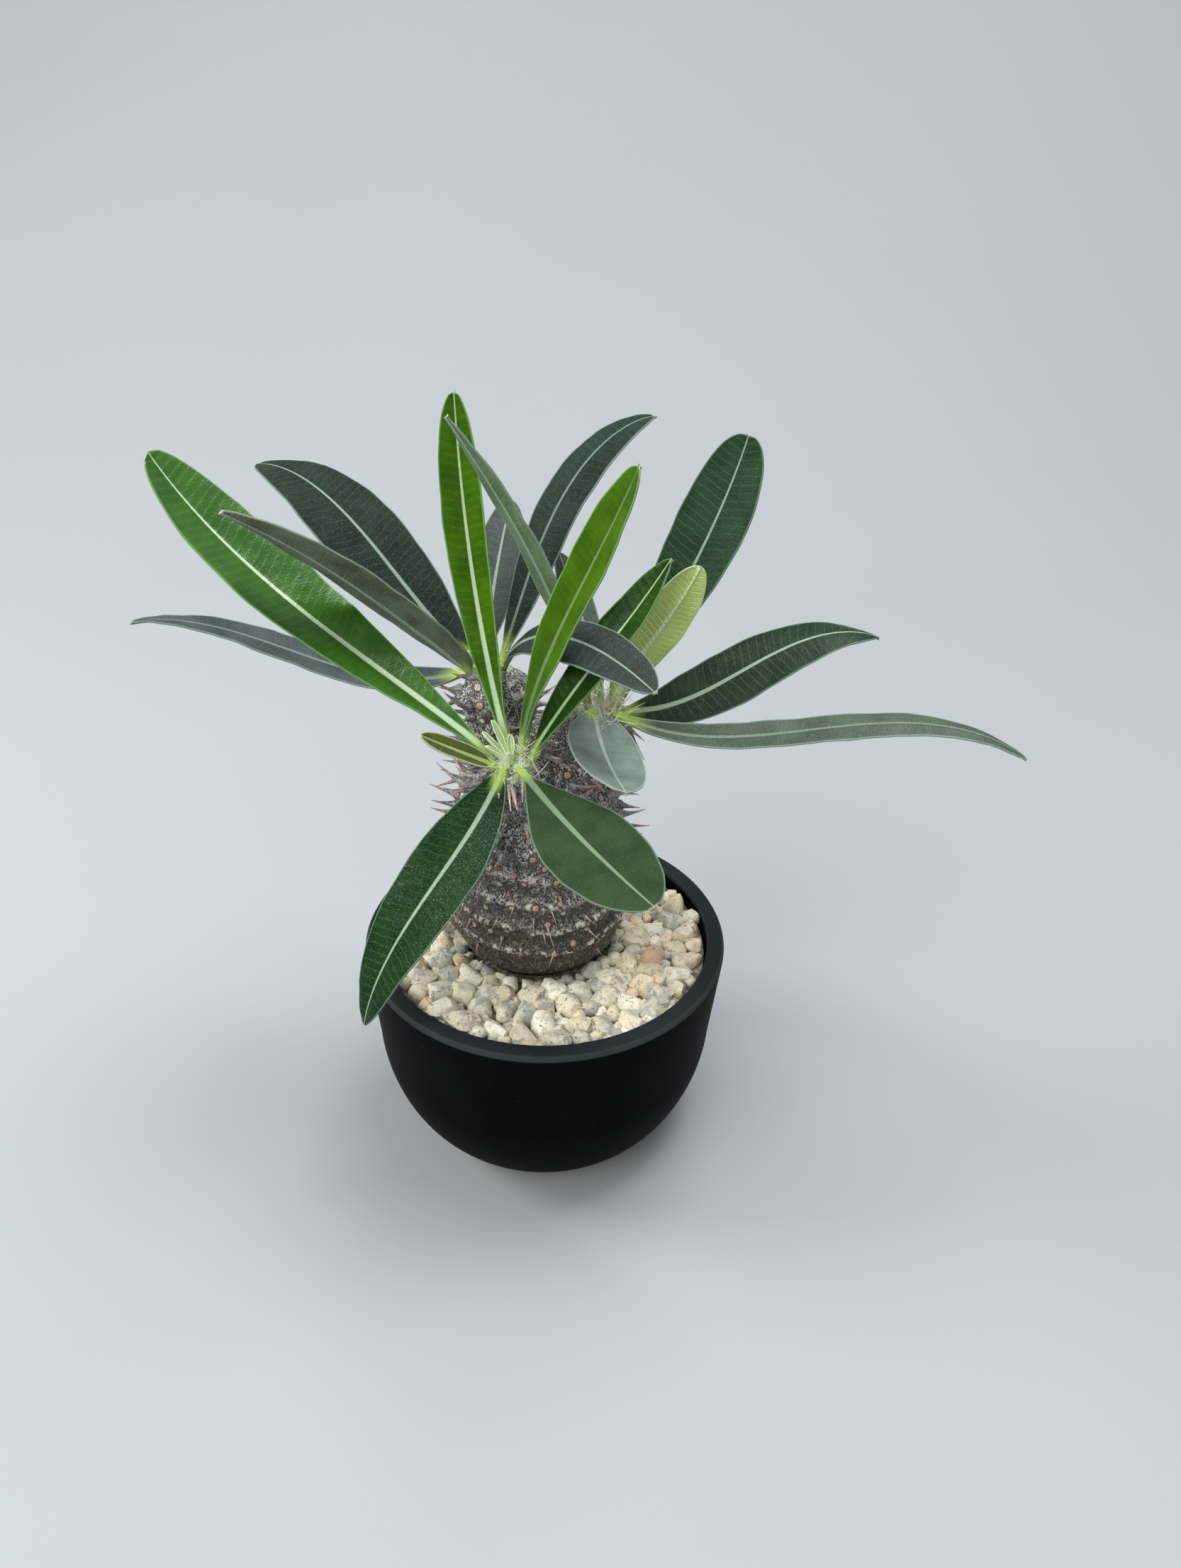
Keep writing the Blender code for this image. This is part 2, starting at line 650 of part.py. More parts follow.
def spine_pair(foot, out, length, trees):
    """Two thick-footed spines that part sideways."""
    up = (Vector((0, 0, 1)) - out * out.z).normalized()
    side = out.cross(up)
    pieces = []
    for way in (-1, 1):
        spread, rise = math.radians(way * SPINE_SPREAD), math.radians(SPINE_RISE)
        direction = (out + side * math.tan(spread) + up * math.tan(rise)).normalized()
        start = foot + side * way * PAIR_GAP / 2
        if clear_of(trees, start, direction, length):
            pieces.append(thorn(start, direction, length, SPINE_FOOT, SPINE_POINT, SPINE_SIDES))
    return pieces


def make_spines(trees):
    """Pairs round each branch, shorter ones round the shoulder, and worn single ones low on the stem."""
    chance = random.Random(4)
    pieces = []
    for crown in BRANCHES:
        for k in range(BRANCH_PAIRS):
            depth = BRANCH_DOME + BRANCH_PAIR_STEP * k
            foot, out = branch_point(crown, depth, math.radians(GOLDEN_ANGLE * k))
            pieces += spine_pair(foot, out, chance.uniform(*BRANCH_SPINE_LENGTHS), trees)
    for k in range(SHOULDER_PAIRS):
        angle = math.radians(GOLDEN_ANGLE * k)
        out = Vector((math.cos(angle), math.sin(angle), 0))
        foot = stem_point(SHOULDER_LOW + SHOULDER_STEP * k, angle)
        pieces += spine_pair(foot, out, chance.uniform(*SHOULDER_SPINE_LENGTHS), trees)
    for k in range(WORN_SPINES):
        angle = math.radians(GOLDEN_ANGLE * k + WORN_TURN)
        out = Vector((math.cos(angle), math.sin(angle), -WORN_DROOP)).normalized()
        foot = stem_point(WORN_LOW + WORN_STEP * k, angle)
        if clear_of(trees, foot, out, WORN_LENGTH):
            pieces.append(thorn(foot, out, WORN_LENGTH, WORN_FOOT, SPINE_POINT, SPINE_SIDES))
    return pieces


def make_cushions():
    """The cushion under each leaf, from the heart of the branch's end to just short of the stalk."""
    pieces = []
    for values in LEAVES.values():
        end, _, ahead, _, _ = branch_frame(values["crown"])
        heart = end - ahead * CUSHION_DEPTH
        foot = Vector(BRANCHES[values["crown"]][1]) + leaf_foot(values)
        slope, heading = math.radians(values["rise"][0]), math.radians(values["heading"])
        leaving = Vector((math.cos(heading) * math.cos(slope), math.sin(heading) * math.cos(slope), math.sin(slope)))
        reach = (foot - heart).normalized()
        tilt = min(reach.angle(leaving), math.radians(MOST_TILT))
        short = (GAP + CUSHION_TIP * math.sin(tilt)) / math.cos(tilt)
        length = (foot - heart).length - short
        pieces.append(thorn(heart, reach, length, CUSHION_FOOT, CUSHION_TIP, CUSHION_SIDES))
    return pieces


def world_tree(obj):
    """The object's surface, for measuring distances in world space."""
    bm = bmesh.new()
    bm.from_mesh(obj.data)
    bm.transform(obj.matrix_world)
    tree = BVHTree.FromBMesh(bm)
    bm.free()
    return tree


def make_caudex(leaves):
    """The swollen stem with its root, three branches, spines and leaf cushions, grown as one piece."""
    bark = make_material("grey_brown_bark", (0.16, 0.12, 0.09), 0.85)
    stem = make_object("caudex", stem_bmesh(), bark)
    bpy.context.view_layer.update()
    trees = [world_tree(leaf) for leaf in leaves]
    fuse(stem, [make_branch(crown) for crown in BRANCHES])
    fuse(stem, make_cushions() + make_spines(trees))
    smooth(stem, 40)


def main():
    clear_scene()
    make_pot()
    make_substrate()
    make_gravel()
    crowns = {name: make_empty(name + "_crown", middle) for name, (_, middle) in BRANCHES.items()}
    leaves = make_leaves(crowns)
    buds = make_buds(crowns)
    make_caudex(leaves + buds)


main()
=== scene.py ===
"""The looks of a young potted pachypodium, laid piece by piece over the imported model.

Lengths are written in millimetres times MM, angles in degrees. The plant's front faces minus Y.
"""

import math
import random

import bmesh
import bpy
from mathutils import Matrix, Vector, noise
from mathutils.bvhtree import BVHTree
from mathutils.kdtree import KDTree


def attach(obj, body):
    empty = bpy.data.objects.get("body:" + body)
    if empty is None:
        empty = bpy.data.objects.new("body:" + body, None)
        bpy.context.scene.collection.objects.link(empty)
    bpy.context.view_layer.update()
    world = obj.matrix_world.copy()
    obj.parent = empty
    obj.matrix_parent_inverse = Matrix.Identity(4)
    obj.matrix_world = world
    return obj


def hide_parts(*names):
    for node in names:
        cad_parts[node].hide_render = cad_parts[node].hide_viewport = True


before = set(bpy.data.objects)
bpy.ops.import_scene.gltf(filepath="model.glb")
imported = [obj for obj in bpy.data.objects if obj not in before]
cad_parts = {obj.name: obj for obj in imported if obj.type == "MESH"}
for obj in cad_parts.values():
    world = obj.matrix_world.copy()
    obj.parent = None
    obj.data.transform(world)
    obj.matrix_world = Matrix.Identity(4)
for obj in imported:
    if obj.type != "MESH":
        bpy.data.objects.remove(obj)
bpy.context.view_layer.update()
MM = 0.001

# The camera stands where the photographer's did: a hand's breadth above the plant and a forearm in front of it,
# looking down at it and tipped a little to one side.
CAMERA_PLACE = Vector((10.2, -224.6, 238.7)) * MM
CAMERA_PITCH = 31.67
CAMERA_ROLL = 1.64
CAMERA_LENS, CAMERA_SENSOR = 26.1, 36
bpy.ops.object.camera_add()
camera = bpy.context.object
camera.name = "camera"
camera.data.lens = CAMERA_LENS
camera.data.sensor_width = CAMERA_SENSOR
camera.data.clip_start = 10 * MM
camera.matrix_world = (
    Matrix.Translation(CAMERA_PLACE)
    @ Matrix.Rotation(math.radians(90 - CAMERA_PITCH), 4, "X")
    @ Matrix.Rotation(math.radians(CAMERA_ROLL), 4, "Z")
)
bpy.context.scene.camera = camera

# A sweep of pale paper: floor in front, rising behind in one wide curve, so that no edge shows. It is the stage and
# no part of the plant.
SWEEP_DEPTH = 900 * MM
SWEEP_REACH = 2600 * MM
SWEEP_RISE = 1500 * MM


class Strand:
    """A shader socket that adds its own Math nodes where it is summed, scaled or compared."""

    def __init__(self, paint, socket):
        self.paint, self.socket = paint, socket

    def math(self, operation, *others):
        return self.paint.add("ShaderNodeMath", {"operation": operation}, dict(enumerate((self, *others))))

    def __add__(self, other):
        return self.math("ADD", other)

    def __sub__(self, other):
        return self.math("SUBTRACT", other)

    def __rsub__(self, other):
        return self.paint.add("ShaderNodeMath", {"operation": "SUBTRACT"}, {0: other, 1: self})

    def __mul__(self, other):
        return self.math("MULTIPLY", other)

    def __truediv__(self, other):
        return self.math("DIVIDE", other)

    def __abs__(self):
        return self.math("ABSOLUTE")

    __radd__ = __add__
    __rmul__ = __mul__

    def between(self, low, high):
        """0 below low, 1 above high and a smooth rise between, or a fall if low is above high."""
        if low > high:
            return 1 - self.between(high, low)
        settings = {"interpolation_type": "SMOOTHSTEP"}
        return self.paint.add("ShaderNodeMapRange", settings, {"Value": self, "From Min": low, "From Max": high})


class Paint:
    """One material, whose nodes are added from its pattern up to its shader."""

    def __init__(self, name, **constants):
        self.material = bpy.data.materials.new(name)
        self.material.use_nodes = True
        self.tree = self.material.node_tree
        self.shader = self.tree.nodes["Principled BSDF"]
        for socket, value in constants.items():
            self.shader.inputs[socket.replace("_", " ")].default_value = value

    def add(self, kind, settings, inputs, output=0):
        node = self.tree.nodes.new(kind)
        for name, value in settings.items():
            setattr(node, name, value)
        for socket, value in inputs.items():
            if isinstance(value, Strand):
                self.tree.links.new(value.socket, node.inputs[socket])
            else:
                node.inputs[socket].default_value = value
        return Strand(self, node.outputs[output])

    def place(self, stretch=(1, 1, 1)):
        """The point's place in the object's own metres, stretched along its axes."""
        spot = self.add("ShaderNodeTexCoord", {}, {}, "Object")
        return self.add("ShaderNodeMapping", {}, {"Vector": spot, "Scale": stretch})

    def stored(self, name, output="Vector"):
        """What the mesh's own attribute of this name holds at the point."""
        return self.add("ShaderNodeAttribute", {"attribute_name": name}, {}, output)

    def axes(self, vector):
        """The three numbers of a vector, each on its own."""
        return [self.add("ShaderNodeSeparateXYZ", {}, {"Vector": vector}, axis) for axis in "XYZ"]

    def channels(self, name):
        """The three numbers that a colour attribute holds at the point, each on its own."""
        inputs = {"Color": self.stored(name, "Color")}
        return [self.add("ShaderNodeSeparateColor", {}, inputs, channel) for channel in ("Red", "Green", "Blue")]

    def noise(self, where, size, detail=3, roughness=0.5, output=0):
        """Soft cloudy noise from 0 to 1, whose blots are about this size."""
        inputs = {"Vector": where, "Scale": 1 / size, "Detail": detail, "Roughness": roughness}
        return self.add("ShaderNodeTexNoise", {}, inputs, output)

    def cells(self, where, size, feature="F1"):
        """Distance from the middles, or to the edges, of cells of about this size, in cell widths."""
        return self.add("ShaderNodeTexVoronoi", {"feature": feature}, {"Vector": where, "Scale": 1 / size}, "Distance")

    def mix(self, factor, first, second):
        """First colour where the factor is 0, second where it is 1."""
        colours = [value if isinstance(value, Strand) else (*value, 1) for value in (first, second)]
        return self.add("ShaderNodeMix", {"data_type": "RGBA"}, {0: factor, 6: colours[0], 7: colours[1]}, 2)

    def layered(self, colour, *layers):
        """The colour under further ones, each laid on by its factor."""
        for factor, over in layers:
            colour = self.mix(factor, colour, over)
        return colour

    def bump(self, height, depth):
        """The normal of a relief of this depth."""
        return self.add("ShaderNodeBump", {}, {"Height": height, "Distance": depth})

    def finish(self, **sockets):
        """Links what changes over the surface to the shader."""
        for socket, value in sockets.items():
            self.tree.links.new(value.socket, self.shader.inputs[socket.replace("_", " ")])
        return self.material


def alone(obj):
    """Leaves this object as the only one selected, and active."""
    bpy.ops.object.select_all(action="DESELECT")
    obj.select_set(True)
    bpy.context.view_layer.objects.active = obj


def added(name, primitive, **how):
    """A new primitive under this name, the only object selected."""
    bpy.ops.object.select_all(action="DESELECT")
    primitive(**how)
    piece = bpy.context.object
    piece.name = piece.data.name = name
    return piece


def select_verts(obj, wanted):
    """In edit mode, selects just the points for which the test on their place holds."""
    bm = bmesh.from_edit_mesh(obj.data)
    bpy.ops.mesh.select_all(action="DESELECT")
    bm.select_mode = {"VERT"}
    for vert in bm.verts:
        vert.select = wanted(vert.co)
    bm.select_flush(True)
    bmesh.update_edit_mesh(obj.data)


sweep = added("paper_sweep", bpy.ops.mesh.primitive_plane_add, size=1)
bpy.ops.object.mode_set(mode="EDIT")
bpy.ops.transform.resize(value=(2 * SWEEP_REACH, SWEEP_REACH + SWEEP_DEPTH, 1))
bpy.ops.transform.translate(value=(0, (SWEEP_DEPTH - SWEEP_REACH) / 2, -0.02 * MM))
select_verts(sweep, lambda co: co.y > 0)
bpy.ops.mesh.extrude_region_move(TRANSFORM_OT_translate={"value": (0, SWEEP_RISE / 3, SWEEP_RISE)})
select_verts(sweep, lambda co: abs(co.y - SWEEP_DEPTH) < MM)
bpy.ops.mesh.bevel(offset=0.6 * SWEEP_DEPTH, segments=24, affect="EDGES")
bpy.ops.object.mode_set(mode="OBJECT")
bpy.ops.object.shade_smooth()
paper = Paint("pale_paper", Roughness=0.9)
paper_colour = paper.mix(paper.noise(paper.place(), 400 * MM), (0.29, 0.310, 0.322), (0.315, 0.335, 0.348))
sweep.data.materials.append(paper.finish(Base_Color=paper_colour))

# Soft studio light: one wide panel overhead, a little behind the plant and to its right, a wider one in front on the
# left, a small one far out on the left like a window, and an even pale room.
LIGHTS = (
    # Its place and the point it looks at, its size and its power.
    ((250, 200, 1500), (0, 0, 90), 800, 24),
    ((-620, -920, 950), (0, 0, 80), 1000, 15),
    ((-950, 60, 760), (0, 0, 90), 380, 8),
)
ROOM_LIGHT = {"Color": (0.80, 0.86, 0.92, 1), "Strength": 0.5}
for lamp_place, lamp_aim, lamp_size, lamp_power in LIGHTS:
    bpy.ops.object.light_add(type="AREA", location=Vector(lamp_place) * MM)
    lamp = bpy.context.object
    lamp.data.size = lamp_size * MM
    lamp.data.energy = lamp_power
    lamp.rotation_euler = (Vector(lamp_aim) - Vector(lamp_place)).to_track_quat("-Z", "Y").to_euler()
room = bpy.data.worlds.new("pale_room")
room.use_nodes = True
for room_socket, room_value in ROOM_LIGHT.items():
    room.node_tree.nodes["Background"].inputs[room_socket].default_value = room_value
bpy.context.scene.world = room
bpy.context.scene.view_settings.view_transform = "Standard"

# The pot is a round cover pot, matt black all through, with a straight tapered wall over a rounded foot, a flat rim
# with a small outer chamfer, and four drain holes. It is drawn up ring by ring from the disc that it stands on.
POT_SIDES = 160
POT_HEIGHT = 57 * MM
POT_RIM_RADIUS = 45 * MM
POT_BELLY_RADIUS = 42.8 * MM
POT_BELLY_HEIGHT = 32 * MM
POT_BASE_RADIUS = 23 * MM
POT_ROUNDNESS = 1.8
POT_WALL = 4.3 * MM
POT_FLOOR = 4 * MM
# The rim from the outside in: how far below its top and how far in from the wall's outer line, in millimetres.
POT_RIM = (
    (12, 0), (1.75, 0), (1.45, 0.02), (1.2, 0.1), (0.3, 0.68), (0.1, 0.86), (0, 1.1),
    (0, 3.85), (0.08, 4.12), (0.3, 4.3), (12, 4.3),
)
WALL_RINGS, INNER_RINGS = 32, 16
DRAIN_RADIUS = 2.5 * MM
DRAIN_RING = 13 * MM
DRAIN_COUNT = 4


def drawn_up(name, sides, rings, middle=(0, 0)):
    """A round piece closed at both ends, drawn up or down through rings of (radius, height)."""
    radius, height = rings[0]
    circle = bpy.ops.mesh.primitive_circle_add
    piece = added(name, circle, vertices=sides, radius=radius, fill_type="NGON", location=(0, 0, height))
    bpy.ops.object.transform_apply(location=True, rotation=False, scale=False)
    bpy.ops.object.mode_set(mode="EDIT")
    bpy.ops.mesh.select_all(action="SELECT")
    for next_radius, next_height in rings[1:]:
        bpy.ops.mesh.extrude_region_move(TRANSFORM_OT_translate={"value": (0, 0, next_height - height)})
        grow = next_radius / radius
        bpy.ops.transform.resize(value=(grow, grow, 1), center_override=(0, 0, next_height))
        radius, height = next_radius, next_height
    bpy.ops.mesh.select_all(action="SELECT")
    bpy.ops.transform.translate(value=(*middle, 0))
    bpy.ops.mesh.normals_make_consistent(inside=False)
    bpy.ops.object.mode_set(mode="OBJECT")
    return piece


def apply_modifier(obj, kind, **settings):
    """Adds a modifier to the object, sets it and applies it."""
    alone(obj)
    modifier = obj.modifiers.new(kind.lower(), kind)
    for name, value in settings.items():
        setattr(modifier, name, value)
    bpy.ops.object.modifier_apply(modifier=modifier.name)


def cut_away(obj, cutter):
    """Takes the cutter's shape out of the object."""
    apply_modifier(obj, "BOOLEAN", object=cutter, operation="DIFFERENCE")
    bpy.data.objects.remove(cutter)


def pot_radius(height):
    """The pot's outer radius: a straight wall above the belly, a rounded foot below it."""
    if height >= POT_BELLY_HEIGHT:
        share = (height - POT_BELLY_HEIGHT) / (POT_HEIGHT - POT_BELLY_HEIGHT)
        return POT_BELLY_RADIUS + share * (POT_RIM_RADIUS - POT_BELLY_RADIUS)
    depth = 1 - height / POT_BELLY_HEIGHT
    return POT_BASE_RADIUS + (POT_BELLY_RADIUS - POT_BASE_RADIUS) * (1 - depth**POT_ROUNDNESS) ** (1 / POT_ROUNDNESS)


pot_rings = [(POT_BASE_RADIUS, 0)]
for pot_step in range(1, WALL_RINGS + 1):
    ring_height = POT_BELLY_HEIGHT * (pot_step / WALL_RINGS) ** 2
    pot_rings.append((pot_radius(ring_height), ring_height))
for drop, inset in POT_RIM:
    pot_rings.append((pot_radius(POT_HEIGHT - drop * MM) - inset * MM, POT_HEIGHT - drop * MM))
for pot_step in range(INNER_RINGS, -1, -1):
    ring_height = POT_FLOOR + (POT_BELLY_HEIGHT - POT_FLOOR) * (pot_step / INNER_RINGS) ** 1.5
    pot_rings.append((pot_radius(ring_height) - POT_WALL, ring_height))
pot = drawn_up("black_pot", POT_SIDES, pot_rings)
for drain in range(DRAIN_COUNT):
    angle = math.tau * (drain + 0.5) / DRAIN_COUNT
    drain_place = (DRAIN_RING * math.cos(angle), DRAIN_RING * math.sin(angle), 0)
    cylinder = bpy.ops.mesh.primitive_cylinder_add
    drill = added("drain_drill", cylinder, vertices=32, radius=DRAIN_RADIUS, depth=4 * POT_FLOOR, location=drain_place)
    cut_away(pot, drill)
alone(pot)
bpy.ops.object.shade_smooth_by_angle(angle=math.radians(35))
black = Paint("matt_black_pot", Metallic=0, Specular_IOR_Level=0.015)
black_spot = black.place()
black_grain = black.noise(black_spot, 0.35 * MM, detail=4, roughness=0.7)
black_cloud = black.noise(black_spot, 14 * MM, detail=4)
black_dust = black.noise(black_spot, 0.9 * MM, detail=1).between(0.76, 0.80)
# Brighter streaks, used only inside the chamfer's painted highlight as painted glints.
black_rim_glints = black.noise(black.place((1, 1, 6)), 3 * MM, detail=5, roughness=0.65).between(0.66, 0.78)
black_rise = black.axes(black_spot)[2]
# The band of the rim's outer chamfer, which is painted paler: a painted highlight.
black_lip_highlight = black_rise.between(POT_HEIGHT - 1.6 * MM, POT_HEIGHT - 1.2 * MM)
black_lip_highlight = black_lip_highlight * black_rise.between(POT_HEIGHT - 0.02 * MM, POT_HEIGHT - 0.3 * MM)
black_colour = black.layered(
    black.mix(black_cloud.between(0.3, 0.7), (0.0018, 0.0018, 0.0021), (0.0030, 0.0030, 0.0034)),
    # The rim's flat top is painted a little paler and bluish: painted light on its upward face.
    (black_rise.between(POT_HEIGHT - 0.6 * MM, POT_HEIGHT - 0.1 * MM), (0.016, 0.020, 0.021)),
    # The chamfer's painted highlight and its brighter painted glints, in the bluish tint of a reflection of the room.
    (black_lip_highlight * (black_grain * 0.5 + 0.5), (0.040, 0.047, 0.053)),
    (black_lip_highlight * black_rim_glints * 0.6, (0.085, 0.095, 0.105)),
    (black_dust * 0.12, (0.16, 0.15, 0.14)),
)
pot.data.materials.append(
    black.finish(
        Base_Color=black_colour,
        Roughness=black_grain * 0.16 + black_cloud * 0.10 + 0.36,
        Normal=black.bump(black_grain, 0.035 * MM),
    )
)
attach(pot, "root")
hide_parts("pot")

# The potting mix fills the pot under the gravel: dark loose mineral grit, seen only through the drain holes. The
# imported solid's shape is right, so it stays and only gets its grain.
mix = Paint("potting_mix", Roughness=0.95)
mix_spot = mix.place()
mix_grit = mix.cells(mix_spot, 1.6 * MM)
mix_tint = mix.noise(mix_spot, 2.5 * MM, detail=4)
mix_colour = mix.mix(mix_tint.between(0.35, 0.7), (0.030, 0.020, 0.013), (0.095, 0.070, 0.048))
packed_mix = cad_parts["substrate"]
packed_mix.material_slots[0].material = mix.finish(Base_Color=mix_colour, Normal=mix.bump(mix_grit, 0.6 * MM))

# The stem is the plant's swollen trunk: a grey-brown, water-filled bulb with ring ridges and leaf scars, its root
# buried in the mix, and three stout branches. It grew as one piece, so its parts are melted into one skin.
STEM_AXIS = Vector((-2, 2, 0)) * MM
STEM_SIDES = 96
STEM_STEP = 1.0
# Height, then the middle's x and y measured from the stem's axis, then the radii across and along the view.
STEM_SECTIONS = (
    (24, 0, 0, 2.0, 2.0),
    (33, 0, 0, 6.0, 6.0),
    (43, 0, 0, 9.5, 9.5),
    (50, 0, 0, 12.5, 12.5),
    (54, 0, 0, 16.0, 16.0),
    (58, 0, 0, 19.6, 19.6),
    (62, 0, 0, 21.1, 21.1),
    (67, 0, 0, 21.5, 21.5),
    (76, 0, 0, 20.8, 20.8),
    (86, 0, -0.5, 19.2, 18.8),
    (95, 0, -0.5, 18.4, 17.2),
    (103, 0.5, 0, 15.5, 14.2),
    (110, 1, 1.5, 10.5, 10.0),
    (114, 1, 3, 4.5, 4.5),
    (115, 1, 3, 1.0, 1.0),
)
# Where each branch starts inside the stem, and the middle of the crown of leaves on its end.
BRANCHES = {
    "front": (Vector((-4, -3, 92)) * MM, Vector((-7, -12, 113)) * MM),
    "rear": (Vector((-7, 3, 95)) * MM, Vector((-13.5, 9, 126)) * MM),
    "right": (Vector((4, 1, 95)) * MM, Vector((12.5, 0, 119.5)) * MM),
}
BRANCH_SIDES = 48
BRANCH_RADIUS = 8 * MM
BRANCH_DOME = 5.5 * MM
CROWN_SINK = 0.9 * MM
SKIN_GRAIN = 0.42 * MM
RIDGE_HEIGHT = 0.7 * MM
RIDGE_SHIFT = 3.85 * MM
RIDGE_SPACING = 6.6 * MM
RIDGE_WANDER = 0.3
BREAK_LEVEL, BREAK_DEPTH, BREAK_SIZE = 0.7, 0.9, 3 * MM
SKIN_TRIM = 0.65 * MM
LUMP_HEIGHT, LUMP_SIZE = 0.45 * MM, 3.4 * MM
WOOL_RADIUS = 8.5 * MM
RIDGED = (57 * MM, 94 * MM)
GOLDEN_ANGLE = math.radians(137.5)


def along(rows, x):
    """The row at x on smooth curves through rows of (x, values...)."""
    k = max(i for i in range(len(rows) - 1) if rows[i][0] <= x or i == 0)
    before, left, right, after = rows[max(k - 1, 0)], rows[k], rows[k + 1], rows[min(k + 2, len(rows) - 1)]
    span = right[0] - left[0]
    t = min(max((x - left[0]) / span, 0), 1)
    values = []
    for b, p, q, a in zip(before[1:], left[1:], right[1:], after[1:]):
        leave = (q - b) / (right[0] - before[0]) * span
        arrive = (a - p) / (after[0] - left[0]) * span
        first = (2 * t**3 - 3 * t**2 + 1) * p + (t**3 - 2 * t**2 + t) * leave
        values.append(first + (3 * t**2 - 2 * t**3) * q + (t**3 - t**2) * arrive)
    return values


def stem_side(height, angle):
    """A point on the stem's side at this height, before its ridges, and the way out there."""
    x, y, across, deep = along(STEM_SECTIONS, height / MM)
    out = Vector((math.cos(angle), math.sin(angle), 0))
    return STEM_AXIS + Vector((x, y, 0)) * MM + Vector((across * out.x, deep * out.y, height / MM)) * MM, out


def branch_side(crown, depth, angle):
    """A point on a branch's side this far below its domed end, and the way out there."""
    start, middle = BRANCHES[crown]
    ahead = (middle - start).normalized()
    across = ahead.cross(Vector((0, 1, 0))).normalized()
    out = math.cos(angle) * across + math.sin(angle) * ahead.cross(across)
    return middle - ahead * (depth + CROWN_SINK) + BRANCH_RADIUS * out, out


def joined(name, pieces):
    """These objects as one piece under this name."""
    alone(pieces[0])
    for piece in pieces:
        piece.select_set(True)
    bpy.ops.object.join()
    pieces[0].name = pieces[0].data.name = name
    return pieces[0]


def surface(obj):
    """The object's surface as a tree, to find what is near it."""
    mesh = obj.data
    return BVHTree.FromPolygons([vert.co for vert in mesh.vertices], [face.vertices for face in mesh.polygons])


first_height, last_height = STEM_SECTIONS[0][0], STEM_SECTIONS[-1][0]
stem_heights = [first_height + STEM_STEP * k for k in range(int((last_height - first_height) / STEM_STEP) + 1)]
stem = drawn_up("stem", STEM_SIDES, [(along(STEM_SECTIONS, h)[2] * MM, h * MM) for h in stem_heights])
for vert in stem.data.vertices:
    x, y, across, deep = along(STEM_SECTIONS, vert.co.z / MM)
    vert.co = STEM_AXIS + Vector((vert.co.x + x * MM, vert.co.y * deep / across + y * MM, vert.co.z))
for crown, (start, middle) in BRANCHES.items():
    reach = (middle - start).length - CROWN_SINK
    branch_rings = [(BRANCH_RADIUS, 0), (BRANCH_RADIUS, reach - BRANCH_DOME)]
    for lean in range(10, 90, 10):
        rise = math.sin(math.radians(lean))
        branch_rings.append((BRANCH_RADIUS * math.cos(math.radians(lean)), reach - BRANCH_DOME * (1 - rise)))
    branch = drawn_up(crown + "_branch", BRANCH_SIDES, branch_rings)
    turn = Vector((0, 0, 1)).rotation_difference(middle - start).to_matrix().to_4x4()
    branch.data.transform(Matrix.Translation(start) @ turn)
    joined("stem", [stem, branch])
apply_modifier(stem, "REMESH", mode="VOXEL", voxel_size=SKIN_GRAIN, adaptivity=0)
apply_modifier(stem, "SMOOTH", factor=0.5, iterations=10)

# The skin's marks, in millimetres. Each thorn has its foot and its point; the thin ones are what is left of old
# thorns low on the bulb. Each scar of a fallen leaf has its place and its radius.
THORNS = (
    ((-19.1, 0.8, 98.8), (-26.3, 1.7, 102.3)), ((-19.9, -0.1, 96.5), (-27.4, -0.4, 98.9)),
    ((-19.3, 2.9, 98.1), (-26.1, 1.0, 96.7)), ((-16.1, -4.9, 101.5), (-21.1, -8.8, 101.7)),
    ((-20.4, -0.4, 94.3), (-26.9, -1.4, 95.1)), ((-20.2, -3.0, 92.6), (-27.0, -3.9, 94.1)),
    ((-11.6, -11.0, 110.4), (-17.9, -15.1, 111.7)), ((-10.7, -13.4, 109.7), (-15.7, -18.4, 110.6)),
    ((-17.5, 4.2, 101.7), (-24.4, 3.6, 102.2)), ((-16.0, 0.5, 111.1), (-19.9, -2.0, 112.6)),
    ((-17.1, 2.2, 108.6), (-21.9, 1.9, 111.0)), ((-19.4, 4.9, 120.3), (-24.7, 3.6, 121.5)),
    ((-18.8, 3.4, 119.8), (-23.8, 1.2, 121.2)), ((-17.6, 1.9, 118.8), (-21.2, -1.2, 120.3)),
    ((-16.6, 1.0, 116.6), (-19.4, -3.5, 116.6)), ((-12.9, -0.6, 118.0), (-15.6, -5.3, 118.3)),
    ((-17.3, 5.2, 123.4), (-21.6, 3.3, 125.3)), ((-7.3, -15.3, 109.5), (-6.6, -22.4, 106.4)),
    ((-6.2, -15.7, 109.3), (-5.1, -22.5, 106.8)), ((-9.3, -15.3, 108.6), (-8.9, -20.0, 107.7)),
    ((-5.1, -15.4, 109.6), (-4.1, -21.0, 107.6)), ((-0.5, -7.1, 111.5), (3.8, -9.3, 111.3)),
    ((0.0, -4.7, 111.3), (3.0, -8.1, 112.9)), ((6.9, -8.6, 104.9), (11.6, -13.1, 106.8)),
    ((8.2, -8.8, 103.3), (11.6, -11.9, 106.2)), ((14.7, -2.3, 99.8), (20.8, -4.6, 100.3)),
    ((16.1, 2.1, 96.3), (21.6, 1.6, 96.5)), ((16.5, 0.2, 93.8), (21.9, -0.5, 94.0)),
    ((16.6, -0.7, 92.7), (23.3, -1.3, 93.4)), ((16.8, 0.0, 89.7), (24.3, -1.4, 88.8)),
    ((17.0, 1.6, 115.0), (21.9, -3.3, 108.9)), ((16.5, 1.2, 115.8), (21.9, -2.2, 113.1)),
    ((15.9, 1.8, 116.4), (20.9, 0.1, 115.8)),
)
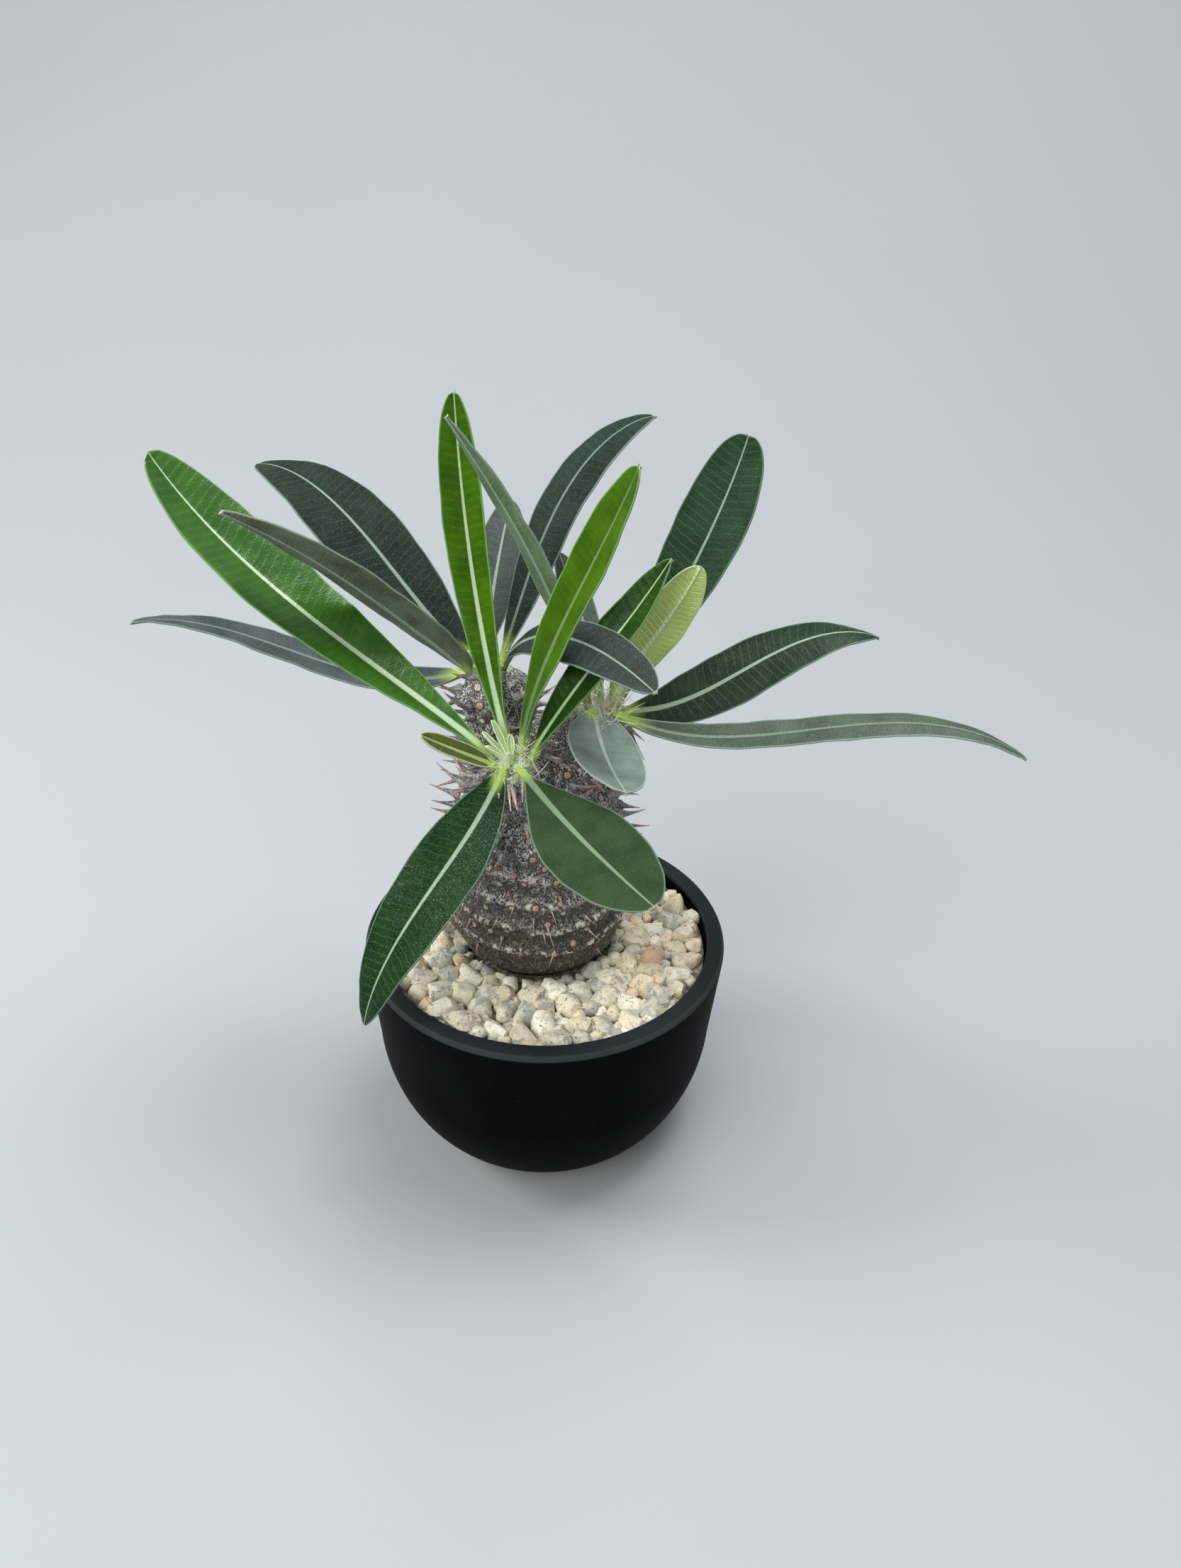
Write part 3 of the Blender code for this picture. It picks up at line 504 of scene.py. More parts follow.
THIN_THORNS = (
    ((1.2, -18.9, 72.9), (3.2, -23.0, 68.6)), ((-6.3, -18.1, 78.1), (-7.3, -21.3, 76.0)),
    ((-8.0, -17.2, 80.9), (-8.7, -19.3, 79.7)), ((4.3, -17.3, 79.9), (5.2, -20.1, 77.9)),
    ((2.3, -18.3, 76.4), (3.3, -20.7, 75.0)), ((10.4, -15.1, 73.1), (12.6, -17.2, 71.8)),
    ((11.0, -15.0, 69.0), (13.4, -17.3, 67.6)), ((0.4, -19.1, 71.0), (1.0, -21.6, 69.4)),
    ((-9.6, -18.1, 68.0), (-9.9, -20.4, 66.5)), ((-11.8, -14.7, 85.9), (-13.6, -17.0, 85.0)),
    ((-13.9, -14.1, 81.4), (-16.0, -15.4, 81.0)), ((-8.0, -15.0, 100.7), (-9.1, -17.5, 98.4)),
    ((0.7, -17.5, 83.4), (0.5, -19.5, 82.2)), ((-10.7, -17.3, 72.6), (-12.2, -19.6, 71.1)),
    ((7.2, -16.0, 80.1), (8.2, -18.2, 78.8)), ((-18.0, -12.3, 68.4), (-18.7, -14.4, 66.6)),
    ((-4.9, -19.3, 66.0), (-5.1, -21.3, 64.8)),
)
SCARS = (
    (-2.2, -16.7, 90.0, 1.7), (-1.7, -16.3, 92.5, 1.0), (-10.0, -16.2, 82.5, 1.5), (3.0, -17.0, 84.1, 1.6),
    (-1.5, -18.5, 78.1, 1.5), (-13.5, -15.5, 75.0, 1.5), (1.2, -18.9, 73.1, 1.4), (-2.2, -19.3, 70.8, 1.3),
    (-7.0, -18.0, 77.3, 1.3), (7.3, -17.4, 66.8, 1.6), (4.8, -8.0, 107.1, 1.7), (1.8, -8.4, 108.4, 1.5),
    (-8.7, -13.7, 97.4, 1.3), (10.5, -15.3, 69.7, 1.4), (-12.5, -16.7, 68.9, 1.4), (-8.2, -18.4, 70.7, 1.3),
    (4.9, -17.7, 75.6, 1.3), (-4.1, -17.5, 83.9, 1.3), (0.4, -16.9, 87.4, 1.2), (4.0, -17.6, 78.5, 1.2),
    (-16.7, -13.6, 68.4, 1.4), (13.1, -13.0, 71.1, 1.4), (-6.5, -16.8, 85.6, 1.2), (-14.8, 0.2, 119.8, 1.6),
    (-15.4, 2.1, 123.2, 1.6), (-14.2, -0.4, 116.6, 1.5), (-12.9, -1.3, 112.6, 1.5),
)
# The marks on the sides that the photograph doesn't show follow the plant's own spiral: pairs of thorns round the
# branches, down from the edge of their domes, and round the shoulder, and scars and thin thorns below.
BRANCH_PAIRS, BRANCH_PAIR_STEP = 14, 1.15 * MM
SHOULDER_PAIRS, SHOULDER_LOW, SHOULDER_STEP = 15, 84.5 * MM, 1.25 * MM
OLD_MARKS, OLD_LOW, OLD_STEP = 46, 60 * MM, 0.72 * MM
OLD_TURN = 0.7
CORE_RADIUS, OUTSIDE = 12, 60
MARK_ROOM = 3.4 * MM
KNOB_RADIUS = 1.9 * MM
KNOB_HEIGHT = 1.15 * MM
PAIR_KNOB_WIDER, PAIR_KNOB_LOWER = 1.2, 0.9
OLD_KNOB = (1.3 * MM, 0.6 * MM)
MARK_REACH = 2.2 * KNOB_RADIUS
MARK_STEEPNESS = 1.8
SCAR_KNOB = 0.55
SCAR_PIT = 0.25 * MM
SCAR_PIT_SHARE, SCAR_SHARE = 0.3, 0.55
CRACK_SIZE = 0.9 * MM
CRACK_DEPTH = 0.36 * MM

skin_tree = surface(stem)
seen_marks = [Vector(foot) * MM for foot, *_ in THORNS + THIN_THORNS] + [Vector(scar[:3]) * MM for scar in SCARS]


def free_skin(middle, out):
    """The place on the skin outwards from a point inside, unless a mark that the photograph shows is near it."""
    place = skin_tree.ray_cast(middle + out * OUTSIDE * MM, -out)[0]
    if place and all((place - mark).length > MARK_ROOM for mark in seen_marks):
        return place
    return None


pairs, old_marks = [], []
for crown in BRANCHES:
    for k in range(BRANCH_PAIRS):
        side, out = branch_side(crown, BRANCH_DOME + BRANCH_PAIR_STEP * k, GOLDEN_ANGLE * k)
        pairs.append((free_skin(side - out * BRANCH_RADIUS, out), out))
for k in range(SHOULDER_PAIRS):
    side, out = stem_side(SHOULDER_LOW + SHOULDER_STEP * k, GOLDEN_ANGLE * k)
    pairs.append((free_skin(side - out * CORE_RADIUS * MM, out), out))
for k in range(OLD_MARKS):
    side, out = stem_side(OLD_LOW + OLD_STEP * k, GOLDEN_ANGLE * k + OLD_TURN)
    old_marks.append((free_skin(side - out * CORE_RADIUS * MM, out), out))
pairs = [(place, out) for place, out in pairs if place]
old_marks = [(place, out) for place, out in old_marks if place]

# Every mark as its place, its radius, its height and how much of a scar it is.
marks = [(Vector(foot) * MM, KNOB_RADIUS, KNOB_HEIGHT, 0) for foot, *_ in THORNS]
marks += [(place, KNOB_RADIUS * PAIR_KNOB_WIDER, KNOB_HEIGHT * PAIR_KNOB_LOWER, 0) for place, _ in pairs]
marks += [(Vector(scar[:3]) * MM, scar[3] * MM, scar[3] * SCAR_KNOB * MM, 1) for scar in SCARS]
marks += [(place, *OLD_KNOB, k % 2) for k, (place, _) in enumerate(old_marks)]
mark_tree = KDTree(len(marks))
for k, mark in enumerate(marks):
    mark_tree.insert(mark[0], k)
mark_tree.balance()

# The skin rises and falls with its ridges, lumps, wrinkles and marks, and keeps for its paint how much each point is a
# scar, a ridge's crest, woolly, and a groove between ridges, which the paint darkens as painted shade.
skin = stem.data.attributes.new("skin", "FLOAT_COLOR", "POINT")
skin_colours, skin_places = [], []
for vert in stem.data.vertices:
    place = vert.co
    side = place - STEM_AXIS
    turn = math.atan2(side.y, side.x)
    low, high = RIDGED
    fade = min(1, max(0, min(place.z - low, high - place.z) / RIDGE_SPACING))
    wander = RIDGE_WANDER * (math.sin(3 * turn) + math.sin(5 * turn + 1))
    wave = math.sin(math.tau * (place.z - RIDGE_SHIFT) / RIDGE_SPACING + wander)
    broken = BREAK_LEVEL + BREAK_DEPTH * noise.noise(place / BREAK_SIZE)
    crest = max(0, wave) ** 2 * max(0, broken)
    lift = fade * (RIDGE_HEIGHT * (wave * 0.5 + crest) - SKIN_TRIM)
    lift += LUMP_HEIGHT * noise.noise(place / LUMP_SIZE)
    lift += CRACK_DEPTH * noise.noise(Vector((place.x, place.y, place.z * 0.7)) / CRACK_SIZE)
    scar = 0
    for _, k, _ in mark_tree.find_range(place, MARK_REACH):
        mark, radius, height, scarred = marks[k]
        away = (place - mark).length / radius
        lift += height * math.exp(-(away**2) * MARK_STEEPNESS)
        if scarred:
            lift -= SCAR_PIT * math.exp(-((away / SCAR_PIT_SHARE) ** 2))
            scar = max(scar, math.exp(-((away / SCAR_SHARE) ** 2)))
    wool = max(0, *(1 - (place - middle).length / WOOL_RADIUS for _, middle in BRANCHES.values()))
    skin_places.append(place + vert.normal * lift)
    skin_colours += (scar, fade * crest, wool, fade * max(0, -wave))
for vert, place in zip(stem.data.vertices, skin_places):
    vert.co = place
skin.data.foreach_set("color", skin_colours)
alone(stem)
bpy.ops.object.shade_smooth()
bark = Paint("grey_brown_bark", Specular_IOR_Level=0.6)
bark_spot = bark.place()
bark_drift = bark.noise(bark_spot, 0.9 * MM, detail=2, output="Color")
bark_shift = {0: bark_drift, 1: (0.45 * MM,) * 3, 2: bark_spot}
bark_bent = bark.add("ShaderNodeVectorMath", {"operation": "MULTIPLY_ADD"}, bark_shift)
bark_bent = bark.add("ShaderNodeMapping", {}, {"Vector": bark_bent, "Scale": (1, 1, 0.62)})
bark_scar, bark_crest, bark_wool = bark.channels("skin")
bark_groove_shade = bark.stored("skin", "Alpha")
bark_rise = bark.axes(bark_spot)[2]
bark_worms = bark.noise(bark_bent, 0.36 * MM, detail=1.5).between(0.42, 0.60)
bark_folds = abs(bark.noise(bark_bent, 1.5 * MM, detail=2) - 0.5).between(0.0, 0.05)
bark_relief = bark_worms * (bark_folds * 0.4 + 0.6)
bark_cloud = bark.noise(bark_spot, 5 * MM, detail=4)
bark_mottle = bark.noise(bark_spot, 1.6 * MM, detail=4, roughness=0.6)
bark_up = bark_rise + (bark_cloud - 0.5) * (14 * MM)
bark_tone = bark_mottle.between(0.42, 0.60)
# Body colours, browner and darker low on the bulb and paler and greyer up the neck; the palest silvery tones are
# partly a painted highlight on the ridges of the wrinkles.
bark_low = bark.mix(bark_tone, (0.080, 0.056, 0.034), (0.235, 0.178, 0.112))
bark_high = bark.mix(bark_tone, (0.26, 0.250, 0.222), (0.64, 0.63, 0.58))
# The furrows between the worm-like wrinkles are painted near black, a little darker low down: painted shade in the
# recesses.
bark_furrow_shade = bark.mix(bark_up.between(63 * MM, 80 * MM), (0.008, 0.006, 0.004), (0.014, 0.012, 0.010))
bark_body = bark.mix(bark_up.between(64 * MM, 88 * MM), bark_low, bark_high)
# Pale flakes broken along the ring ridges' crests, which also stand as a painted highlight on the crests.
bark_flakes_and_highlights = bark_crest.between(0.20, 0.60) * bark.noise(bark_spot, 1.3 * MM).between(0.47, 0.55)
bark_specks = bark.noise(bark_spot, 0.8 * MM, detail=2).between(0.66, 0.72)
bark_ragged = bark_scar + (bark_mottle - 0.5) * 0.5
bark_tan = bark.mix(bark_cloud.between(0.45, 0.55), (0.70, 0.63, 0.50), (0.64, 0.40, 0.23))
bark_tuft = (bark_wool + bark_mottle * 0.3 - 0.15).between(0.25, 0.6)
bark_colour = bark.layered(
    # The wrinkles' ridges take the body colour, their furrows the painted shade.
    bark.mix(bark_relief, bark_furrow_shade, bark_body),
    # Painted shade darkening the grooves between the ring ridges.
    (bark_groove_shade * bark_cloud, (0.036, 0.027, 0.018)),
    # Pale crest flakes, partly painted highlight.
    (bark_flakes_and_highlights * 0.8, (0.66, 0.60, 0.50)),
    (bark_specks * 0.5, (0.40, 0.36, 0.30)),
    (bark_ragged.between(0.12, 0.3), (0.040, 0.027, 0.018)),
    (bark_ragged.between(0.35, 0.6) * (bark_worms * 0.5 + 0.5), bark_tan),
    (bark_tuft, (0.46, 0.56, 0.28)),
)
stem.data.materials.append(
    bark.finish(
        Base_Color=bark_colour,
        Roughness=bark_mottle * 0.24 + bark_tuft * 0.4 + 0.26,
        Normal=bark.bump(bark_relief * 0.8 + bark_mottle * 0.4, 0.15 * MM),
    )
)
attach(stem, "root")
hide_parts("caudex")

# The gravel is a loose layer of pale crushed stone, mostly 4 to 7 mm across, laid round the stem almost up to the rim
# on a thin bed of its own grit, painted dark as painted shade in the gaps between the stones.
GRAVEL_FOOT = 47.3 * MM
GRAVEL_BED_TOP = 52.6 * MM
GRAVEL_TOP = 57 * MM
GRAVEL_GAP = 0.3 * MM
BED_SIDES, ROOT_SIDES = 96, 64
ROOT_HEIGHTS = (44, 47, 50, 52, 54)
# Each size of stone: its radius in millimetres, how many places are tried for it, how far apart two stones lie at
# least, and how far from the stem, as shares of their radii. The chips, the last two, lie deeper, in the gaps and
# close round the foot of the bulb.
STONES = (
    (3.6, 3000, 0.76, 1), (3.1, 3000, 0.76, 1), (2.6, 3000, 0.76, 1), (2.2, 3000, 0.76, 1),
    (2.3, 4000, 0.72, 0.2), (1.6, 9000, 0.64, -0.1),
)
STONE_UNEVEN = 1.4 * MM
STONE_SINKS, CHIP_SINKS = (0, 1), (0.5, 1.4)
STONE_BEDDING = 0.8 * MM
STONE_TILT = 0.45
STONE_SHRINK, STONE_DEPTHS, STONE_HEIGHTS = 0.97, (0.76, 1), (0.72, 0.92)
STONE_MODELS = 9
# Each model is a rounded lumpy cube with some of its sides chopped flat.
STONE_ROUNDING = 0.72
STONE_LUMPS, STONE_LUMPINESS = 0.24, 1.7
STONE_CHOPS, CHOP_DEPTHS = 9, (0.78, 1)

bed_rings = [(pot_radius(h) - POT_WALL - GRAVEL_GAP, h) for h in (GRAVEL_FOOT, GRAVEL_BED_TOP)]
bed = drawn_up("gravel_bed", BED_SIDES, bed_rings)
root_rings = [(along(STEM_SECTIONS, h)[2] * MM + GRAVEL_GAP, h * MM) for h in ROOT_HEIGHTS]
root_cutter = drawn_up("root_cutter", ROOT_SIDES, root_rings, STEM_AXIS.xy)
cut_away(bed, root_cutter)
grit = Paint("gravel_grit", Roughness=0.95)
grit_spot = grit.place()
grit_lumps = grit.cells(grit_spot, 1.3 * MM)
grit_tint = grit.noise(grit_spot, 1.6 * MM)
# The grit is painted far darker than the stones: painted shade where it shows in the gaps between them.
grit_colour_and_gap_shade = grit.mix(grit_tint.between(0.4, 0.7), (0.10, 0.085, 0.06), (0.34, 0.30, 0.22))
bed.data.materials.append(grit.finish(Base_Color=grit_colour_and_gap_shade, Normal=grit.bump(grit_lumps, 0.7 * MM)))
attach(bed, "root")
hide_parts("gravel_top")


def joined_copies(name, models, placings):
    """One piece of many copies, from (model, its matrix, its shade as four numbers from 0 to 1); the models go."""
    copies = []
    for model, matrix, shade in placings:
        copy = bpy.data.objects.new(name, model.data.copy())
        copy.data.transform(matrix)
        shades = copy.data.attributes.new("shade", "FLOAT_COLOR", "POINT")
        shades.data.foreach_set("color", shade * len(copy.data.vertices))
        bpy.context.collection.objects.link(copy)
        copies.append(copy)
    for model in models:
        bpy.data.objects.remove(model)
    return joined(name, copies[::-1])


stone_chance = random.Random(23)
stone_models = []
for _ in range(STONE_MODELS):
    stone = added("stone_model", bpy.ops.mesh.primitive_cube_add, size=2)
    bpy.ops.object.mode_set(mode="EDIT")
    bpy.ops.mesh.subdivide(number_cuts=2)
    bpy.ops.transform.tosphere(value=STONE_ROUNDING)
    bpy.ops.object.mode_set(mode="OBJECT")
    chops = []
    for _ in range(STONE_CHOPS):
        chop = Vector([stone_chance.gauss(0, 1) for _ in range(3)]).normalized()
        chops.append((chop, stone_chance.uniform(*CHOP_DEPTHS)))
    shift = Vector([stone_chance.uniform(0, 50) for _ in range(3)])
    for vert in stone.data.vertices:
        vert.co *= 1 + STONE_LUMPS * noise.noise(vert.co * STONE_LUMPINESS + shift)
        for chop, depth in chops:
            vert.co -= chop * max(0, vert.co.dot(chop) - depth)
    bpy.ops.object.shade_smooth_by_angle(angle=math.radians(46))
    stone_models.append(stone)

stone_inside = along(STEM_SECTIONS, GRAVEL_TOP / MM)[2] + GRAVEL_GAP / MM
stone_outside = (pot_radius(GRAVEL_BED_TOP) - POT_WALL - GRAVEL_GAP) / MM
stone_laying = random.Random(11)
laid = []
for radius, tries, apart, tuck in STONES:
    for _ in range(tries):
        reach = stone_outside * math.sqrt(stone_laying.random())
        angle = stone_laying.uniform(0, math.tau)
        place = Vector((reach * math.cos(angle), reach * math.sin(angle)))
        if reach > stone_outside - radius or (place - STEM_AXIS.xy / MM).length < stone_inside + radius * tuck:
            continue
        if all((place - other).length > apart * (radius + r) for other, r, _ in laid):
            laid.append((place, radius, tuck < 1))
stone_placings = []
for place, radius, chip in laid:
    squat = Vector((1, stone_chance.uniform(*STONE_DEPTHS), stone_chance.uniform(*STONE_HEIGHTS)))
    squat = squat * radius * STONE_SHRINK * MM
    turn = Matrix.Rotation(stone_chance.uniform(0, math.tau), 4, "Z")
    tilt = Matrix.Rotation(stone_chance.uniform(-STONE_TILT, STONE_TILT), 4, "X")
    model = stone_chance.choice(stone_models)
    matrix = turn @ tilt @ Matrix.Diagonal((*squat, 1))
    heights = [(matrix @ vert.co).z for vert in model.data.vertices]
    sink = stone_chance.uniform(*(CHIP_SINKS if chip else STONE_SINKS))
    top = GRAVEL_TOP - sink * STONE_UNEVEN
    level = min(top - max(heights), GRAVEL_BED_TOP - STONE_BEDDING - min(heights))
    matrix = Matrix.Translation((*(place * MM), level)) @ matrix
    shade = (stone_chance.random(), stone_chance.random(), stone_chance.random(), 1)
    stone_placings.append((model, matrix, shade))
stones = joined_copies("gravel_stones", stone_models, stone_placings)
rock = Paint("crushed_stone", Roughness=0.85)
rock_spot = rock.place()
rock_tone, rock_grey, rock_rust = rock.channels("shade")
rock_cloud = rock.noise(rock_spot, 2.6 * MM, detail=5, roughness=0.6)
rock_grain = rock.noise(rock_spot, 0.55 * MM, detail=4, roughness=0.7)
rock_stain = (rock_rust * 0.5 + rock_cloud * 0.8).between(0.70, 0.95)
rock_mottle = (rock_cloud + rock_grain * 0.35).between(0.70, 0.50)
rock_veil = (rock_cloud + rock_grey * 0.34 + rock_grain * 0.2).between(0.79, 0.92)
rock_patches = rock.noise(rock_spot, 3.0 * MM, detail=2).between(0.50, 0.62)
rock_specks = rock.noise(rock_spot, 0.65 * MM, roughness=0.6).between(0.55, 0.63)
rock_colour = rock.layered(
    rock.mix(rock_tone, (0.68, 0.60, 0.42), (0.88, 0.84, 0.69)),
    (rock_stain * 0.8, (0.80, 0.55, 0.28)),
    (rock_rust.between(0.990, 0.995) * 0.9, (0.56, 0.34, 0.22)),
    (rock_mottle * 0.7, (0.40, 0.37, 0.26)),
    (rock_veil * 0.85, (0.34, 0.35, 0.32)),
    (rock_specks * (rock_patches * 0.85 + 0.15) * 0.85, (0.070, 0.080, 0.085)),
)
stones.data.materials.append(
    rock.finish(Base_Color=rock_colour, Normal=rock.bump(rock_grain + rock_cloud * 0.6, 0.4 * MM))
)
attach(stones, "root")
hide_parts("gravel_top")

# The leaves are thin tough blades on short thick stalks, each with a pale midrib that stands out below. They grow
# round the ends of the branches: glossy and bright when new, darker, greyer and rougher as they age.
LEAF_ROW, FEWEST_ROWS = 0.55 * MM, 24
ROW_CROWDING = 1.3
LEAF_COLUMNS = 16
ROOT_ROWS = 8
STALK_END = 0.09
STALK_HALF_WIDTH = 0.85
STALK_THICKNESS = 1.3
POINT_WIDTH, POINT_GROWTH, POINT_ROUNDNESS = 0.12, 1.4, 0.7
RIB_THICKNESS = 1.0
BLADE_THICKNESS = 0.42
MARGIN_THICKNESS = 0.3
ROOT_DEPTH, ROOT_LENGTH, ROOT_SPREAD, ROOT_ELBOW = 3.2, 2, 0.45, 1.6
FOLD_ROUNDNESS = 0.16
VEIN_SLANT = 0.28
RIB_NARROWEST, RIB_SPREAD = 0.2, 0.7
RIPPLE_HEIGHT, RIPPLE_LENGTH = 0.45, 9
SWAY_WIDTH, SWAY_LENGTH = 0.25, 6
BUMP_HEIGHT, BUMP_SIZE = 0.10, 2.6
RIB_DIP = 0.10
MARGIN_DROP = 0.0192
# What a kind of leaf looks like: its slot; the colours of its face's dark and light patches, of its back's, of its
# rib and of its margin; its roughness, its gloss and its down; how strong its side veins, its fine net and its pale
# specks are, from 0 to 1; the depth of its side veins in millimetres; how strong its bumpy grain is and how wide its
# rib. A leaf's own values below come before its kind's, and may also give the width and the spacing of its side veins
# and their colour on its back.
KINDS = {
    "bright": dict(
        slot="bright_leaf", dark=(0.026, 0.100, 0.006), light=(0.048, 0.150, 0.010),
        back=((0.10, 0.17, 0.06), (0.17, 0.25, 0.10)), rib=(0.42, 0.58, 0.32), margin=(0.16, 0.30, 0.11),
        rough=0.27, gloss=0.5, fuzz=0.0, veins=0.10, net=0.20, specks=0.08, relief=0.12, grain=0.04, rib_width=1.0,
    ),
    "young": dict(
        slot="young_leaf", dark=(0.10, 0.14, 0.025), light=(0.15, 0.19, 0.05),
        back=((0.17, 0.27, 0.055), (0.28, 0.39, 0.12)), rib=(0.30, 0.38, 0.14), margin=(0.42, 0.46, 0.30),
        rough=0.45, fuzz=0.2, veins=0.5, net=0.25, specks=0.2, relief=0.10, rib_width=0.7,
    ),
    "dark": dict(
        slot="dark_leaf", dark=(0.005, 0.016, 0.006), light=(0.012, 0.030, 0.013),
        back=((0.08, 0.12, 0.06), (0.14, 0.18, 0.10)), rib=(0.23, 0.31, 0.22), margin=(0.10, 0.17, 0.11),
        rough=0.36, fuzz=0.05, veins=0.30, net=0.45, specks=0.30, relief=0.06, rib_width=0.75,
    ),
    "grey": dict(
        slot="grey_leaf", dark=(0.012, 0.024, 0.016), light=(0.026, 0.044, 0.033),
        back=((0.050, 0.075, 0.036), (0.11, 0.15, 0.085)), rib=(0.22, 0.30, 0.23), margin=(0.16, 0.23, 0.18),
        rough=0.52, fuzz=0.03, veins=0.28, net=0.40, specks=0.55, relief=0.06, rib_width=0.65,
    ),
}
# What a leaf has unless its kind or its own values say otherwise.
USUAL = dict(gloss=0.35, grain=0.08, spacing=1.9, vein_width=0.09, thin=1, foot=0.02, reach=3.8, level=0)
